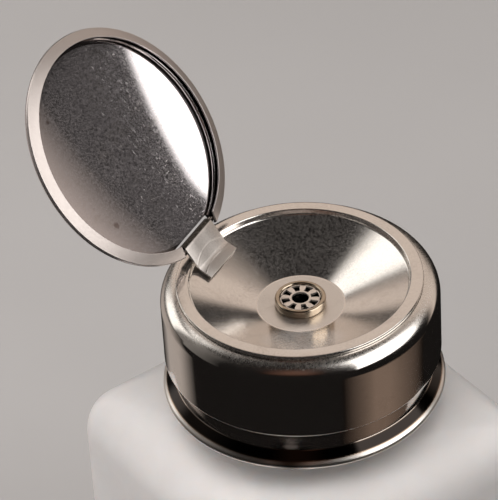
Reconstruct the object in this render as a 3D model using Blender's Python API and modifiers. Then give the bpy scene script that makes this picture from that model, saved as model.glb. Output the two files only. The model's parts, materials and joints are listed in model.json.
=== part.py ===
"""Pump dispenser bottle with a dished press head and a flip lid.

A square bottle carries a screw closure with a small piston pump. Pressing the dish drives the stem
and piston down against a spring, and liquid wells up through the star outlet in the dish. A round
lid hinges on a strap at the dish's rim and stands open at rest. Metres, +Z up, origin at the centre
of the bottle's base.
"""
import math

import bmesh
import bpy
from mathutils import Vector

# Clearances shared by all the pieces
SEAT_GAP = 0.0003
SLIDE_GAP = 0.0003
CUT_OVERRUN = 0.002

# Bottle
BOTTLE_WIDTH = 0.0634
SIDE_HEIGHT = 0.0768
CORNER_RADIUS = 0.0064
CORNER_MINIMUM = 0.0024
BASE_EDGE_RADIUS = 0.003
SHOULDER_RADIUS = 0.0108
SHOULDER_SLOPE = math.radians(20)
NECK_FILLET = 0.0012
ROUND_MARGIN = 0.0031
ROUNDING_POWER = 2.9
BOTTLE_WALL = 0.0015
BOTTLE_FLOOR = 0.0018
NECK_RADIUS = 0.017
NECK_WALL = 0.0018
NECK_LENGTH = 0.0088
THREAD_PITCH = 0.004
NECK_THREAD_DEPTH = 0.001
INSERT_THREAD_DEPTH = 0.0009
THREAD_ENGAGEMENT = 0.0005
THREAD_RISE = 0.0042
NECK_THREAD_TURNS = (0, 1.1)
INSERT_THREAD_TURNS = (0.72, 1.5)

# Closure: gasket, threaded insert and spun metal collar
GASKET_THICKNESS = 0.001
GASKET_WIDTH = 0.003
HOUSING_FLANGE = 0.0012
FLANGE_MARGIN = 0.0006
INSERT_TOP = 0.0012
INSERT_WALL = 0.0014
INSERT_OUTER_WALL = 0.001
INSERT_HOLLOW = 0.0022
INSERT_DEPTH = 0.0091
INSERT_SKIRT_RISE = 0.002
SHEET = 0.0005
COLLAR_DEPTH = 0.0108
COLLAR_CORNER = 0.0008
COLLAR_EYE_RADIUS = 0.0072
FLARE_HEIGHT = 0.0031
FLARE_WIDTH = 0.001
BEAD_RADIUS = 0.00075
BEAD_REACH = 0.0022

# Pump
BARREL_BORE_RADIUS = 0.0065
BARREL_WALL = 0.0012
CHAMBER_DEPTH = 0.0336
CHAMBER_LEDGE = 0.0011
BALL_ROOM = 0.0067
BARREL_FLOOR = 0.004
BARREL_TAPER = 0.003
INLET_RADIUS = 0.0023
INLET_BALL_RADIUS = 0.003
BALL_SEAT_GAP = 0.00015
BALL_LIFT = 0.0013
TUBE_RADIUS = 0.0032
TUBE_WALL = 0.0008
SPIGOT_LENGTH = 0.0115
SPIGOT_WALL = 0.0011
TUBE_FLOOR_GAP = 0.003
CAGE_THICKNESS = 0.0012
CAGE_EYE_RADIUS = 0.0016
CAGE_HOLE_RADIUS = 0.0008
CAGE_HOLE_CIRCLE = 0.0042
GUIDE_FLANGE_RADIUS = 0.0085
GUIDE_FLANGE = 0.0012
GUIDE_NECK_LENGTH = 0.002
PISTON_LENGTH = 0.008
PISTON_FLOOR = 0.0005
PISTON_GAP = 0.0006
PISTON_EYE_RADIUS = 0.0015
SEAL_WIRE_RADIUS = 0.00085
SPRING_RADIUS = 0.0046
SPRING_WIRE_RADIUS = 0.00045
SPRING_TURNS = 8
STEM_RADIUS = 0.0026
STEM_BORE_RADIUS = 0.0013
STEM_HEAD_RADIUS = 0.0042
STEM_HEAD_LENGTH = 0.0056
STEM_SOCKET_FLOOR = 0.0015

# Press head: travel, dish, skirt and outlet
PRESS_TRAVEL = 0.005
PRESS_CLEARANCE = 0.0004
DISH_DEPTH = 0.005
DISH_FLOOR_RADIUS = 0.0081
RIM_HEIGHT = 0.0011
RIM_WIDTH = 0.0026
RIM_SETBACK = 0.003
RIM_STEP = 0.0006
SKIRT_CLEARANCE = 0.0016
SKIRT_FOOT_GAP = 0.0011
SKIRT_SHOULDER = 0.00405
SKIRT_SHOULDER_START = 75
SKIRT_LIP = 0.0017
WASHER_THICKNESS = 0.0008
WASHER_RADIUS = 0.0068
NOZZLE_RADIUS = 0.00467
NOZZLE_RIM_HEIGHT = 0.0012
NOZZLE_RIM_WALL = 0.0009
NOZZLE_FLOOR = 0.0003
NOZZLE_EDGE = 0.0002
SHANK_RADIUS = 0.0029
SHANK_WALL = 0.0008
SHANK_LENGTH = 0.006
OUTLET_SEAT = 0.001
OUTLET_SEAT_RISE = 0.0008
OUTLET_SEAT_RADIUS = 0.0011
OUTLET_BALL_RADIUS = 0.0016
OUTLET_BALL_LIFT = 0.0012
STAR_THICKNESS = 0.00045
STAR_EYE_RADIUS = 0.00145
STAR_HUB_RADIUS = 0.0021
STAR_BAND = 0.00025
PETALS = 8
PETAL_RADIUS = 0.00052
PETAL_CIRCLE = 0.0027
PETAL_NECK_SHARE = 0.55

# Lid and its hinge
HINGE_AZIMUTH = math.radians(115.7)
HINGE_OFFSET = 0.0014
HINGE_HEIGHT = 0.00325
LID_OPEN_ANGLE = math.radians(129.5)
PIN_RADIUS = 0.00045
PIN_LENGTH = 0.0126
PIN_GAP = 0.00015
STRAP_SHEET = 0.00045
STRAP_WIDTH = 0.0096
STRAP_TOE_REACH = 0.0048
STRAP_FOOT_REACH = 0.0035
STRAP_RISE_RUN = 0.0009
STRAP_RISE_SLOPE = math.radians(30)
STRAP_BEND_IN = 0.00112
STRAP_BEND_DROP = 0.0009
CURL_TURN = math.radians(262)
LID_OVERHANG = 0.0004
LID_SHEET = 0.00045
LID_REST_GAP = 0.0004
LIP_WIDTH = 0.00215
LIP_RISE = 0.00086
LID_CORNER = 0.0012
LID_CORNER_RISE = 0.00105
LID_DOME = 0.0015
LID_DOME_SHARES = ((0, 1), (0.35, 0.88), (0.65, 0.58), (0.86, 0.26))
NOTCH_WIDTH = 0.0116
NOTCH_DEPTH = 0.00325

# Mesh fineness
LARGE_STEPS = 48
SMALL_STEPS = 32
FINE_STEPS = 20
CORNER_STEPS = 10
THREAD_STEPS = 24
CURL_STEPS = 12
SPRING_STEPS = 10
MERGE_DISTANCE = 0.00001

# Heights, from the bottle's base up
HALF_WIDTH = BOTTLE_WIDTH / 2
ARC_TURN = math.pi / 2 - SHOULDER_SLOPE
ARC_INSET = SHOULDER_RADIUS * (1 - math.cos(ARC_TURN))
ARC_RISE = SHOULDER_RADIUS * math.sin(ARC_TURN)
FILLET_START = NECK_RADIUS + NECK_FILLET * (1 - math.sin(SHOULDER_SLOPE))
ROUND_INSET = HALF_WIDTH - NECK_RADIUS - ROUND_MARGIN
SLOPE_RISE = (HALF_WIDTH - ARC_INSET - FILLET_START) * math.tan(SHOULDER_SLOPE)
NECK_BASE_Z = SIDE_HEIGHT + ARC_RISE + SLOPE_RISE
NECK_TOP_Z = NECK_BASE_Z + NECK_FILLET + NECK_LENGTH
GASKET_Z = NECK_TOP_Z + SEAT_GAP
FLANGE_Z = GASKET_Z + GASKET_THICKNESS + SEAT_GAP
FLANGE_TOP_Z = FLANGE_Z + HOUSING_FLANGE
INSERT_DISC_Z = FLANGE_TOP_Z + SEAT_GAP
INSERT_TOP_Z = INSERT_DISC_Z + INSERT_TOP
COLLAR_DISC_Z = INSERT_TOP_Z + SEAT_GAP
COLLAR_TOP_Z = COLLAR_DISC_Z + SHEET
BEAD_Z = COLLAR_TOP_Z - COLLAR_DEPTH
SKIRT_LOW_Z = BEAD_Z + BEAD_RADIUS + PRESS_TRAVEL + SKIRT_FOOT_GAP
DISH_UNDER_Z = COLLAR_TOP_Z + PRESS_CLEARANCE + PRESS_TRAVEL
DISH_FLOOR_Z = DISH_UNDER_Z + SHEET
CREASE_Z = DISH_FLOOR_Z + DISH_DEPTH
RIM_TOP_Z = CREASE_Z + RIM_HEIGHT
WASHER_TOP_Z = DISH_UNDER_Z - SEAT_GAP
STEM_TOP_Z = WASHER_TOP_Z - WASHER_THICKNESS - SEAT_GAP
STEM_HEAD_Z = STEM_TOP_Z - STEM_HEAD_LENGTH
GUIDE_LEDGE_Z = STEM_HEAD_Z - PRESS_TRAVEL - PRESS_CLEARANCE
GUIDE_LOW_Z = GUIDE_LEDGE_Z - GUIDE_NECK_LENGTH
PISTON_TOP_Z = GUIDE_LOW_Z - SEAT_GAP
PISTON_LOW_Z = PISTON_TOP_Z - PISTON_LENGTH
STEM_LOW_Z = PISTON_LOW_Z + PISTON_FLOOR + SEAT_GAP
NOZZLE_Z = DISH_FLOOR_Z + SEAT_GAP
NOZZLE_TOP_Z = NOZZLE_Z + NOZZLE_RIM_HEIGHT
SHANK_LOW_Z = STEM_HEAD_Z + STEM_SOCKET_FLOOR + SEAT_GAP
LEDGE_Z = FLANGE_TOP_Z - CHAMBER_DEPTH
BALL_FLOOR_Z = LEDGE_Z - BALL_ROOM
SOCKET_TOP_Z = BALL_FLOOR_Z - BARREL_FLOOR
SPIGOT_LOW_Z = SOCKET_TOP_Z - SPIGOT_LENGTH
CAGE_Z = LEDGE_Z + SEAT_GAP
CAGE_TOP_Z = CAGE_Z + CAGE_THICKNESS
HINGE_Z = CREASE_Z + HINGE_HEIGHT
LIP_LOW_Z = RIM_TOP_Z + LID_REST_GAP

# Radii that follow from the fits
INSERT_BORE_RADIUS = NECK_RADIUS + NECK_THREAD_DEPTH + INSERT_THREAD_DEPTH - THREAD_ENGAGEMENT
FLANGE_RADIUS = INSERT_BORE_RADIUS - FLANGE_MARGIN
INSERT_RADIUS = INSERT_BORE_RADIUS + INSERT_WALL + INSERT_HOLLOW + INSERT_OUTER_WALL
COLLAR_RADIUS = INSERT_RADIUS + SEAT_GAP + SHEET
SKIRT_RADIUS = COLLAR_RADIUS + SKIRT_CLEARANCE
RIM_RADIUS = SKIRT_RADIUS - RIM_SETBACK
CREASE_RADIUS = RIM_RADIUS - RIM_WIDTH
HINGE_RADIUS = CREASE_RADIUS + HINGE_OFFSET
LID_RADIUS = RIM_RADIUS + LID_OVERHANG
BARREL_RADIUS = BARREL_BORE_RADIUS + BARREL_WALL
GUIDE_RADIUS = BARREL_BORE_RADIUS - SLIDE_GAP
GUIDE_WELL_RADIUS = STEM_HEAD_RADIUS + SLIDE_GAP
SOCKET_RADIUS = SHANK_RADIUS + SLIDE_GAP
SHANK_BORE_RADIUS = SHANK_RADIUS - SHANK_WALL
TUBE_SOCKET_RADIUS = TUBE_RADIUS + SEAT_GAP
SPIGOT_RADIUS = TUBE_SOCKET_RADIUS + SPIGOT_WALL
LIP_EDGE_RADIUS = LID_RADIUS - LIP_WIDTH
CURL_RADIUS = PIN_RADIUS + PIN_GAP + STRAP_SHEET / 2


def clear_scene():
    for old in list(bpy.data.objects):
        bpy.data.objects.remove(old)


def collection(name):
    group = bpy.data.collections.new(name)
    bpy.context.scene.collection.children.link(group)
    return group


def material(name, colour, roughness, metallic):
    made = bpy.data.materials.new(name)
    made.use_nodes = True
    shader = made.node_tree.nodes["Principled BSDF"]
    shader.inputs["Base Color"].default_value = (*colour, 1)
    shader.inputs["Roughness"].default_value = roughness
    shader.inputs["Metallic"].default_value = metallic
    made.diffuse_color = (*colour, 1)
    return made


def place(thing, group, look):
    group.objects.link(thing)
    if look is not None:
        thing.data.materials.append(look)
    return thing


def arc(centre_r, centre_z, radius, start, end, steps):
    """Points of a circular arc in the profile plane, angles in degrees from +r towards +z."""
    angles = [math.radians(start + (end - start) * k / steps) for k in range(steps + 1)]
    return [(centre_r + radius * math.cos(a), centre_z + radius * math.sin(a)) for a in angles]


def turned(name, outline, steps, group, look, closed=True):
    """A profile of (radius, height) points, down its outer side, spun about +Z."""
    mesh = bpy.data.meshes.new(name)
    count = len(outline)
    edges = [(k, k + 1) for k in range(count - 1)]
    if closed:
        edges.append((count - 1, 0))
    mesh.from_pydata([(r, 0, z) for r, z in outline], edges, [])
    thing = place(bpy.data.objects.new(name, mesh), group, look)
    spin = thing.modifiers.new("spin", "SCREW")
    spin.axis = "Z"
    spin.angle = math.tau
    spin.steps = steps
    spin.render_steps = steps
    spin.use_merge_vertices = True
    spin.merge_threshold = MERGE_DISTANCE
    spin.use_smooth_shade = True
    return thing


def ring(name, inner, outer, low, high, steps, group, look):
    outline = [(inner, high), (outer, high), (outer, low), (inner, low)]
    return turned(name, outline, steps, group, look)


def ball(name, radius, height, group, look):
    bpy.ops.mesh.primitive_uv_sphere_add(segments=FINE_STEPS, ring_count=FINE_STEPS // 2, radius=radius)
    thing = bpy.context.object
    for old in list(thing.users_collection):
        old.objects.unlink(thing)
    thing.name = name
    thing.location = (0, 0, height)
    thing.data.shade_smooth()
    return place(thing, group, look)


def cutter(thing, cutters):
    thing.hide_render = True
    thing.display_type = "WIRE"
    for old in list(thing.users_collection):
        old.objects.unlink(thing)
    cutters.objects.link(thing)
    return thing


def cut(target, tool, operation="DIFFERENCE"):
    step = target.modifiers.new(tool.name, "BOOLEAN")
    step.operation = operation
    step.solver = "EXACT"
    step.object = tool


def tube_mesh(name, points, radius, resolution, group):
    """A closed tube along points, as a mesh that a Boolean can use."""
    curve = bpy.data.curves.new(name, "CURVE")
    curve.dimensions = "3D"
    curve.bevel_depth = radius
    curve.bevel_resolution = resolution
    curve.use_fill_caps = True
    spline = curve.splines.new("POLY")
    spline.points.add(len(points) - 1)
    for point, place_at in zip(spline.points, points):
        point.co = (*place_at, 1)
    guide = bpy.data.objects.new(name + "_guide", curve)
    group.objects.link(guide)
    bpy.context.view_layer.update()
    seen = guide.evaluated_get(bpy.context.evaluated_depsgraph_get())
    mesh = bpy.data.meshes.new_from_object(seen)
    shape = bmesh.new()
    shape.from_mesh(mesh)
    bmesh.ops.remove_doubles(shape, verts=shape.verts, dist=MERGE_DISTANCE)
    bmesh.ops.recalc_face_normals(shape, faces=shape.faces)
    shape.to_mesh(mesh)
    shape.free()
    thing = bpy.data.objects.new(name, mesh)
    thing.matrix_world = guide.matrix_world.copy()
    group.objects.link(thing)
    bpy.data.objects.remove(guide)
    return thing


def helix(radius, pitch, low, span, steps):
    """Points of a rising helix over a span of turns, at height low where the turn count is zero."""
    first_turn, last_turn = span
    count = round((last_turn - first_turn) * steps)
    turns = [first_turn + (last_turn - first_turn) * k / count for k in range(count + 1)]
    return [(radius * math.cos(math.tau * turn), radius * math.sin(math.tau * turn), low + pitch * turn)
            for turn in turns]


def section(half, corner, height):
    """One level of the bottle: a square with round corners, or a circle where corner equals half."""
    points = []
    for quarter in range(4):
        for k in range(CORNER_STEPS):
            angle = math.radians(90) * (quarter + (k + 0.5) / CORNER_STEPS)
            turn = math.radians(45) + math.radians(90) * quarter
            reach = (half - corner) * math.sqrt(2)
            points.append((reach * math.cos(turn) + corner * math.cos(angle),
                           reach * math.sin(turn) + corner * math.sin(angle), height))
    return points


def shoulder_level(inset, height, wall):
    """A level of the shoulder: the corners open out until the outline is round at the neck."""
    half = HALF_WIDTH - inset
    round_share = min(1, inset / ROUND_INSET) ** ROUNDING_POWER
    rolled = max(CORNER_RADIUS - inset, CORNER_MINIMUM)
    corner = rolled + (half - rolled) * round_share
    return section(half - wall, corner - wall, height)


def shoulder(wall):
    """Levels from the top of the straight sides to the foot of the neck, moved in by the wall."""
    arc_steps = 6
    slope_steps = 4
    levels = []
    for k in range(arc_steps + 1):
        angle = ARC_TURN * k / arc_steps
        inset = SHOULDER_RADIUS * (1 - math.cos(angle))
        rise = SHOULDER_RADIUS * math.sin(angle)
        levels.append((inset, SIDE_HEIGHT + rise - wall * math.sin(angle)))
    for k in range(1, slope_steps + 1):
        inset = ARC_INSET + (HALF_WIDTH - ARC_INSET - FILLET_START) * k / slope_steps
        rise = ARC_RISE + SLOPE_RISE * k / slope_steps
        levels.append((inset, SIDE_HEIGHT + rise - wall))
    return [shoulder_level(inset, height, wall) for inset, height in levels]


def base_levels(wall, floor):
    """Levels of the rounded bottom edge, from the flat base to the straight sides."""
    steps = 4
    levels = []
    for k in range(steps + 1):
        angle = math.radians(90) * k / steps
        inset = BASE_EDGE_RADIUS * (1 - math.sin(angle))
        rise = BASE_EDGE_RADIUS * (1 - math.cos(angle))
        levels.append(section(HALF_WIDTH - wall - inset, CORNER_RADIUS - wall - inset, floor + rise))
    return levels


def circle(radius, height):
    return section(radius, radius, height)


def bottle_levels():
    """The bottle's skin as one run of levels: up the outside, over the lip and down the inside."""
    bore = NECK_RADIUS - NECK_WALL
    lip = NECK_WALL / 4
    outside = base_levels(0, 0) + shoulder(0)
    neck = [circle(NECK_RADIUS + NECK_FILLET / 3, NECK_BASE_Z + NECK_FILLET / 3),
            circle(NECK_RADIUS, NECK_BASE_Z + NECK_FILLET),
            circle(NECK_RADIUS, NECK_TOP_Z - lip),
            circle(NECK_RADIUS - lip, NECK_TOP_Z),
            circle(bore + lip, NECK_TOP_Z),
            circle(bore, NECK_TOP_Z - lip),
            circle(bore, NECK_BASE_Z)]
    inside = shoulder(BOTTLE_WALL)[::-1] + base_levels(BOTTLE_WALL, BOTTLE_FLOOR)[::-1]
    return outside + neck + inside


def make_bottle(group, cutters, look):
    levels = bottle_levels()
    shape = bmesh.new()
    rows = [[shape.verts.new(point) for point in level] for level in levels]
    count = len(rows[0])
    for low, high in zip(rows, rows[1:]):
        for k in range(count):
            after = (k + 1) % count
            shape.faces.new((low[k], low[after], high[after], high[k]))
    shape.faces.new(rows[0][::-1])
    shape.faces.new(rows[-1])
    mesh = bpy.data.meshes.new("bottle_body")
    shape.to_mesh(mesh)
    shape.free()
    mesh.shade_smooth()
    bottle = place(bpy.data.objects.new("bottle_body", mesh), group, look)
    path = helix(NECK_RADIUS, THREAD_PITCH, NECK_BASE_Z + THREAD_RISE, NECK_THREAD_TURNS, THREAD_STEPS)
    thread = cutter(tube_mesh("neck_thread", path, NECK_THREAD_DEPTH, 1, cutters), cutters)
    cut(bottle, thread, "UNION")
    return bottle


def make_gasket(group, look):
    bore = NECK_RADIUS - NECK_WALL / 2 - GASKET_WIDTH / 2
    ring("neck_gasket", bore, bore + GASKET_WIDTH, GASKET_Z, GASKET_Z + GASKET_THICKNESS,
         LARGE_STEPS, group, look)


def make_insert(group, cutters, look):
    """Double-walled threaded insert: the inner wall screws on the neck, the outer fits the collar."""
    bore = INSERT_BORE_RADIUS
    wall = bore + INSERT_WALL
    outer = INSERT_RADIUS
    skirt = outer - INSERT_OUTER_WALL
    eye = GUIDE_FLANGE_RADIUS + SEAT_GAP + SLIDE_GAP
    low = INSERT_DISC_Z - INSERT_DEPTH
    skirt_low = low + INSERT_SKIRT_RISE
    outline = [(eye, INSERT_TOP_Z), (outer - COLLAR_CORNER, INSERT_TOP_Z),
               (outer, INSERT_TOP_Z - COLLAR_CORNER), (outer, skirt_low), (skirt, skirt_low),
               (skirt, INSERT_DISC_Z), (wall, INSERT_DISC_Z),
               (wall, low), (bore, low), (bore, INSERT_DISC_Z), (eye, INSERT_DISC_Z)]
    insert = turned("collar_insert", outline, LARGE_STEPS, group, look)
    start = NECK_BASE_Z + THREAD_RISE - THREAD_PITCH / 2
    path = helix(bore, THREAD_PITCH, start, INSERT_THREAD_TURNS, THREAD_STEPS)
    thread = cutter(tube_mesh("insert_thread", path, INSERT_THREAD_DEPTH, 1, cutters), cutters)
    cut(insert, thread, "UNION")
    return insert


def make_collar(group, look):
    """Spun metal collar with a flared foot and a rolled bead, as the skirt's running face."""
    inner = COLLAR_RADIUS - SHEET
    bead_r = COLLAR_RADIUS + BEAD_REACH - BEAD_RADIUS
    flare_top = BEAD_Z + FLARE_HEIGHT
    flare_neck = flare_top - FLARE_HEIGHT / 3
    foot = COLLAR_RADIUS + FLARE_WIDTH
    outline = [(COLLAR_EYE_RADIUS, COLLAR_TOP_Z)]
    outline += arc(COLLAR_RADIUS - COLLAR_CORNER, COLLAR_TOP_Z - COLLAR_CORNER, COLLAR_CORNER, 90, 0, 3)
    outline += [(COLLAR_RADIUS, flare_top), (COLLAR_RADIUS + FLARE_WIDTH / 4, flare_neck)]
    outline += [(foot - SHEET / 4, BEAD_Z + BEAD_RADIUS + SHEET / 4)]
    outline += arc(bead_r, BEAD_Z, BEAD_RADIUS, 115, -160, 7)
    outline += [(foot - SHEET, BEAD_Z + BEAD_RADIUS / 2), (inner + FLARE_WIDTH / 4, flare_neck),
                (inner, flare_top), (inner, COLLAR_DISC_Z - SHEET), (inner - SHEET, COLLAR_DISC_Z),
                (COLLAR_EYE_RADIUS, COLLAR_DISC_Z)]
    return turned("screw_collar", outline, LARGE_STEPS, group, look)


def make_housing(group, look):
    """Pump barrel: flange on the neck, piston chamber, ball room, inlet hole and tube socket."""
    room = BARREL_BORE_RADIUS - CHAMBER_LEDGE
    outline = [(BARREL_BORE_RADIUS, FLANGE_TOP_Z), (FLANGE_RADIUS, FLANGE_TOP_Z), (FLANGE_RADIUS, FLANGE_Z),
               (BARREL_RADIUS, FLANGE_Z), (BARREL_RADIUS, BALL_FLOOR_Z),
               (SPIGOT_RADIUS, BALL_FLOOR_Z - BARREL_TAPER), (SPIGOT_RADIUS, SPIGOT_LOW_Z),
               (TUBE_SOCKET_RADIUS, SPIGOT_LOW_Z), (TUBE_SOCKET_RADIUS, SOCKET_TOP_Z),
               (INLET_RADIUS, SOCKET_TOP_Z), (INLET_RADIUS, BALL_FLOOR_Z), (room, BALL_FLOOR_Z),
               (room, LEDGE_Z), (BARREL_BORE_RADIUS, LEDGE_Z)]
    return turned("pump_housing", outline, SMALL_STEPS, group, look)


def make_tube(group, look):
    ring("dip_tube", TUBE_RADIUS - TUBE_WALL, TUBE_RADIUS, BOTTLE_FLOOR + TUBE_FLOOR_GAP,
         SOCKET_TOP_Z - SEAT_GAP, FINE_STEPS, group, look)


def seated_ball_height(seat_z, ball_radius, seat_radius):
    return seat_z + math.sqrt(ball_radius ** 2 - seat_radius ** 2) + BALL_SEAT_GAP


def make_inlet_valve(group, cutters, ball_look, cage_look):
    ball("inlet_ball", INLET_BALL_RADIUS, seated_ball_height(BALL_FLOOR_Z, INLET_BALL_RADIUS, INLET_RADIUS),
         group, ball_look)
    cage = ring("valve_cage", CAGE_EYE_RADIUS, BARREL_BORE_RADIUS - SEAT_GAP, CAGE_Z, CAGE_TOP_Z,
                SMALL_STEPS, group, cage_look)
    holes = 4
    for k in range(holes):
        angle = math.tau * k / holes
        bpy.ops.mesh.primitive_cylinder_add(vertices=8, radius=CAGE_HOLE_RADIUS,
                                            depth=CAGE_THICKNESS + 2 * CUT_OVERRUN)
        tool = cutter(bpy.context.object, cutters)
        tool.name = f"cage_hole_{k + 1}"
        tool.location = (CAGE_HOLE_CIRCLE * math.cos(angle), CAGE_HOLE_CIRCLE * math.sin(angle),
                         CAGE_Z + CAGE_THICKNESS / 2)
        cut(cage, tool)


def make_guide(group, look):
    """Cap that closes the barrel, guides the stem and takes its head when pressed."""
    neck = STEM_RADIUS + SLIDE_GAP
    low = FLANGE_TOP_Z + SEAT_GAP
    top = low + GUIDE_FLANGE
    outline = [(GUIDE_WELL_RADIUS, top), (GUIDE_FLANGE_RADIUS, top), (GUIDE_FLANGE_RADIUS, low),
               (GUIDE_RADIUS, low), (GUIDE_RADIUS, GUIDE_LOW_Z), (neck, GUIDE_LOW_Z), (neck, GUIDE_LEDGE_Z),
               (GUIDE_WELL_RADIUS, GUIDE_LEDGE_Z)]
    return turned("stem_guide", outline, SMALL_STEPS, group, look)


def make_piston(group, piston_look, seal_look):
    outer = BARREL_BORE_RADIUS - PISTON_GAP
    seal_r = BARREL_BORE_RADIUS - SLIDE_GAP - SEAL_WIRE_RADIUS
    groove = seal_r - SEAL_WIRE_RADIUS - SEAT_GAP
    bore = STEM_RADIUS + SEAT_GAP
    middle = (PISTON_TOP_Z + PISTON_LOW_Z) / 2
    half = SEAL_WIRE_RADIUS + SEAT_GAP
    outline = [(bore, PISTON_TOP_Z), (outer, PISTON_TOP_Z), (outer, middle + half), (groove, middle + half),
               (groove, middle - half), (outer, middle - half), (outer, PISTON_LOW_Z),
               (PISTON_EYE_RADIUS, PISTON_LOW_Z), (PISTON_EYE_RADIUS, PISTON_LOW_Z + PISTON_FLOOR),
               (bore, PISTON_LOW_Z + PISTON_FLOOR)]
    turned("piston", outline, SMALL_STEPS, group, piston_look)
    bead = arc(seal_r, middle, SEAL_WIRE_RADIUS, 90, -270, 8)[:-1]
    turned("piston_seal", bead, FINE_STEPS, group, seal_look)


def make_spring(group, look):
    """Return spring between the valve cage and the piston."""
    low = CAGE_TOP_Z + SEAT_GAP + SPRING_WIRE_RADIUS
    high = PISTON_LOW_Z - SEAT_GAP - SPRING_WIRE_RADIUS
    pitch = (high - low) / SPRING_TURNS
    path = helix(SPRING_RADIUS, pitch, low, (0, SPRING_TURNS), SPRING_STEPS)
    spring = tube_mesh("return_spring", path, SPRING_WIRE_RADIUS, 1, group)
    spring.data.materials.append(look)
    spring.data.shade_smooth()
    return spring


def make_stem(group, look):
    socket_low = STEM_HEAD_Z + STEM_SOCKET_FLOOR
    outline = [(SOCKET_RADIUS, STEM_TOP_Z), (STEM_HEAD_RADIUS, STEM_TOP_Z), (STEM_HEAD_RADIUS, STEM_HEAD_Z),
               (STEM_RADIUS, STEM_HEAD_Z), (STEM_RADIUS, STEM_LOW_Z), (STEM_BORE_RADIUS, STEM_LOW_Z),
               (STEM_BORE_RADIUS, socket_low), (SOCKET_RADIUS, socket_low)]
    return turned("pump_stem", outline, SMALL_STEPS, group, look)


def make_washer(group, look):
    ring("dish_washer", SOCKET_RADIUS, WASHER_RADIUS, WASHER_TOP_Z - WASHER_THICKNESS, WASHER_TOP_Z,
         SMALL_STEPS, group, look)


def make_nozzle(group, look):
    """Screwed outlet spout: a low ring in the dish, a shank in the stem's head and a ball seat."""
    well = NOZZLE_RADIUS - NOZZLE_RIM_WALL
    floor = NOZZLE_Z + NOZZLE_FLOOR
    seat_low = SHANK_LOW_Z + OUTLET_SEAT_RISE
    seat_top = seat_low + OUTLET_SEAT
    outline = [(well, NOZZLE_TOP_Z), (NOZZLE_RADIUS - NOZZLE_EDGE, NOZZLE_TOP_Z),
               (NOZZLE_RADIUS, NOZZLE_TOP_Z - NOZZLE_EDGE), (NOZZLE_RADIUS, NOZZLE_Z),
               (SHANK_RADIUS, NOZZLE_Z), (SHANK_RADIUS, SHANK_LOW_Z), (SHANK_BORE_RADIUS, SHANK_LOW_Z),
               (OUTLET_SEAT_RADIUS, seat_low),
               (OUTLET_SEAT_RADIUS, seat_top), (SHANK_BORE_RADIUS, seat_top), (SHANK_BORE_RADIUS, floor),
               (well, floor)]
    turned("nozzle_body", outline, SMALL_STEPS, group, look)
    return seat_top, well, floor


def star_opening(first, outer):
    """Outline of one opening between two petals, the first petal at the given angle."""
    step = math.tau / PETALS
    bulge = math.asin(PETAL_RADIUS / PETAL_CIRCLE)
    neck = bulge * PETAL_NECK_SHARE
    middle = first + step / 2
    last = first + step
    hub = [(STAR_HUB_RADIUS, first + neck), (STAR_HUB_RADIUS, middle), (STAR_HUB_RADIUS, last - neck)]
    right = [(PETAL_CIRCLE, last - bulge)]
    rim = [(outer, last - neck), (outer, middle), (outer, first + neck)]
    left = [(PETAL_CIRCLE, first + bulge)]
    return [(r * math.cos(a), r * math.sin(a)) for r, a in hub + right + rim + left]


def round_outline(radius, steps):
    turns = [math.tau * k / steps for k in range(steps)]
    return [(radius * math.cos(turn), radius * math.sin(turn)) for turn in turns]


def make_star(group, look, well, floor):
    """Perforated star plate in the spout: eight petals on a hub ring, with openings between."""
    outer = well - SEAT_GAP
    curve = bpy.data.curves.new("nozzle_star", "CURVE")
    curve.dimensions = "2D"
    curve.fill_mode = "BOTH"
    curve.extrude = STAR_THICKNESS / 2
    outlines = [round_outline(outer, SMALL_STEPS), round_outline(STAR_EYE_RADIUS, FINE_STEPS)]
    outlines += [star_opening(math.tau * k / PETALS, outer - STAR_BAND) for k in range(PETALS)]
    for points in outlines:
        spline = curve.splines.new("POLY")
        spline.points.add(len(points) - 1)
        spline.use_cyclic_u = True
        for point, (x, y) in zip(spline.points, points):
            point.co = (x, y, 0, 1)
    star = place(bpy.data.objects.new("nozzle_star", curve), group, look)
    star.location = (0, 0, floor + SEAT_GAP + STAR_THICKNESS / 2)
    return star


def dish_height(radius):
    """Height of the dish's upper face at a radius between its flat floor and the crease."""
    return DISH_FLOOR_Z + DISH_DEPTH * (radius - DISH_FLOOR_RADIUS) / (CREASE_RADIUS - DISH_FLOOR_RADIUS)


def make_dish(group, look):
    """Pressed dish: flat floor, conical bowl, crease and a raised band over the skirt's lip."""
    eye = SHANK_RADIUS + SEAT_GAP
    band_low = CREASE_Z + SEAT_GAP / 2
    top = RIM_TOP_Z
    outline = [(eye, DISH_FLOOR_Z), (DISH_FLOOR_RADIUS, DISH_FLOOR_Z), (CREASE_RADIUS, CREASE_Z),
               (CREASE_RADIUS + RIM_STEP, top - RIM_STEP / 2), (CREASE_RADIUS + 2 * RIM_STEP, top),
               (RIM_RADIUS - RIM_STEP, top - RIM_STEP / 4), (RIM_RADIUS, top - RIM_STEP),
               (RIM_RADIUS, band_low), (CREASE_RADIUS + RIM_STEP, band_low),
               (CREASE_RADIUS, CREASE_Z - SHEET), (DISH_FLOOR_RADIUS, DISH_UNDER_Z), (eye, DISH_UNDER_Z)]
    return turned("dish", outline, LARGE_STEPS, group, look)


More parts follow.
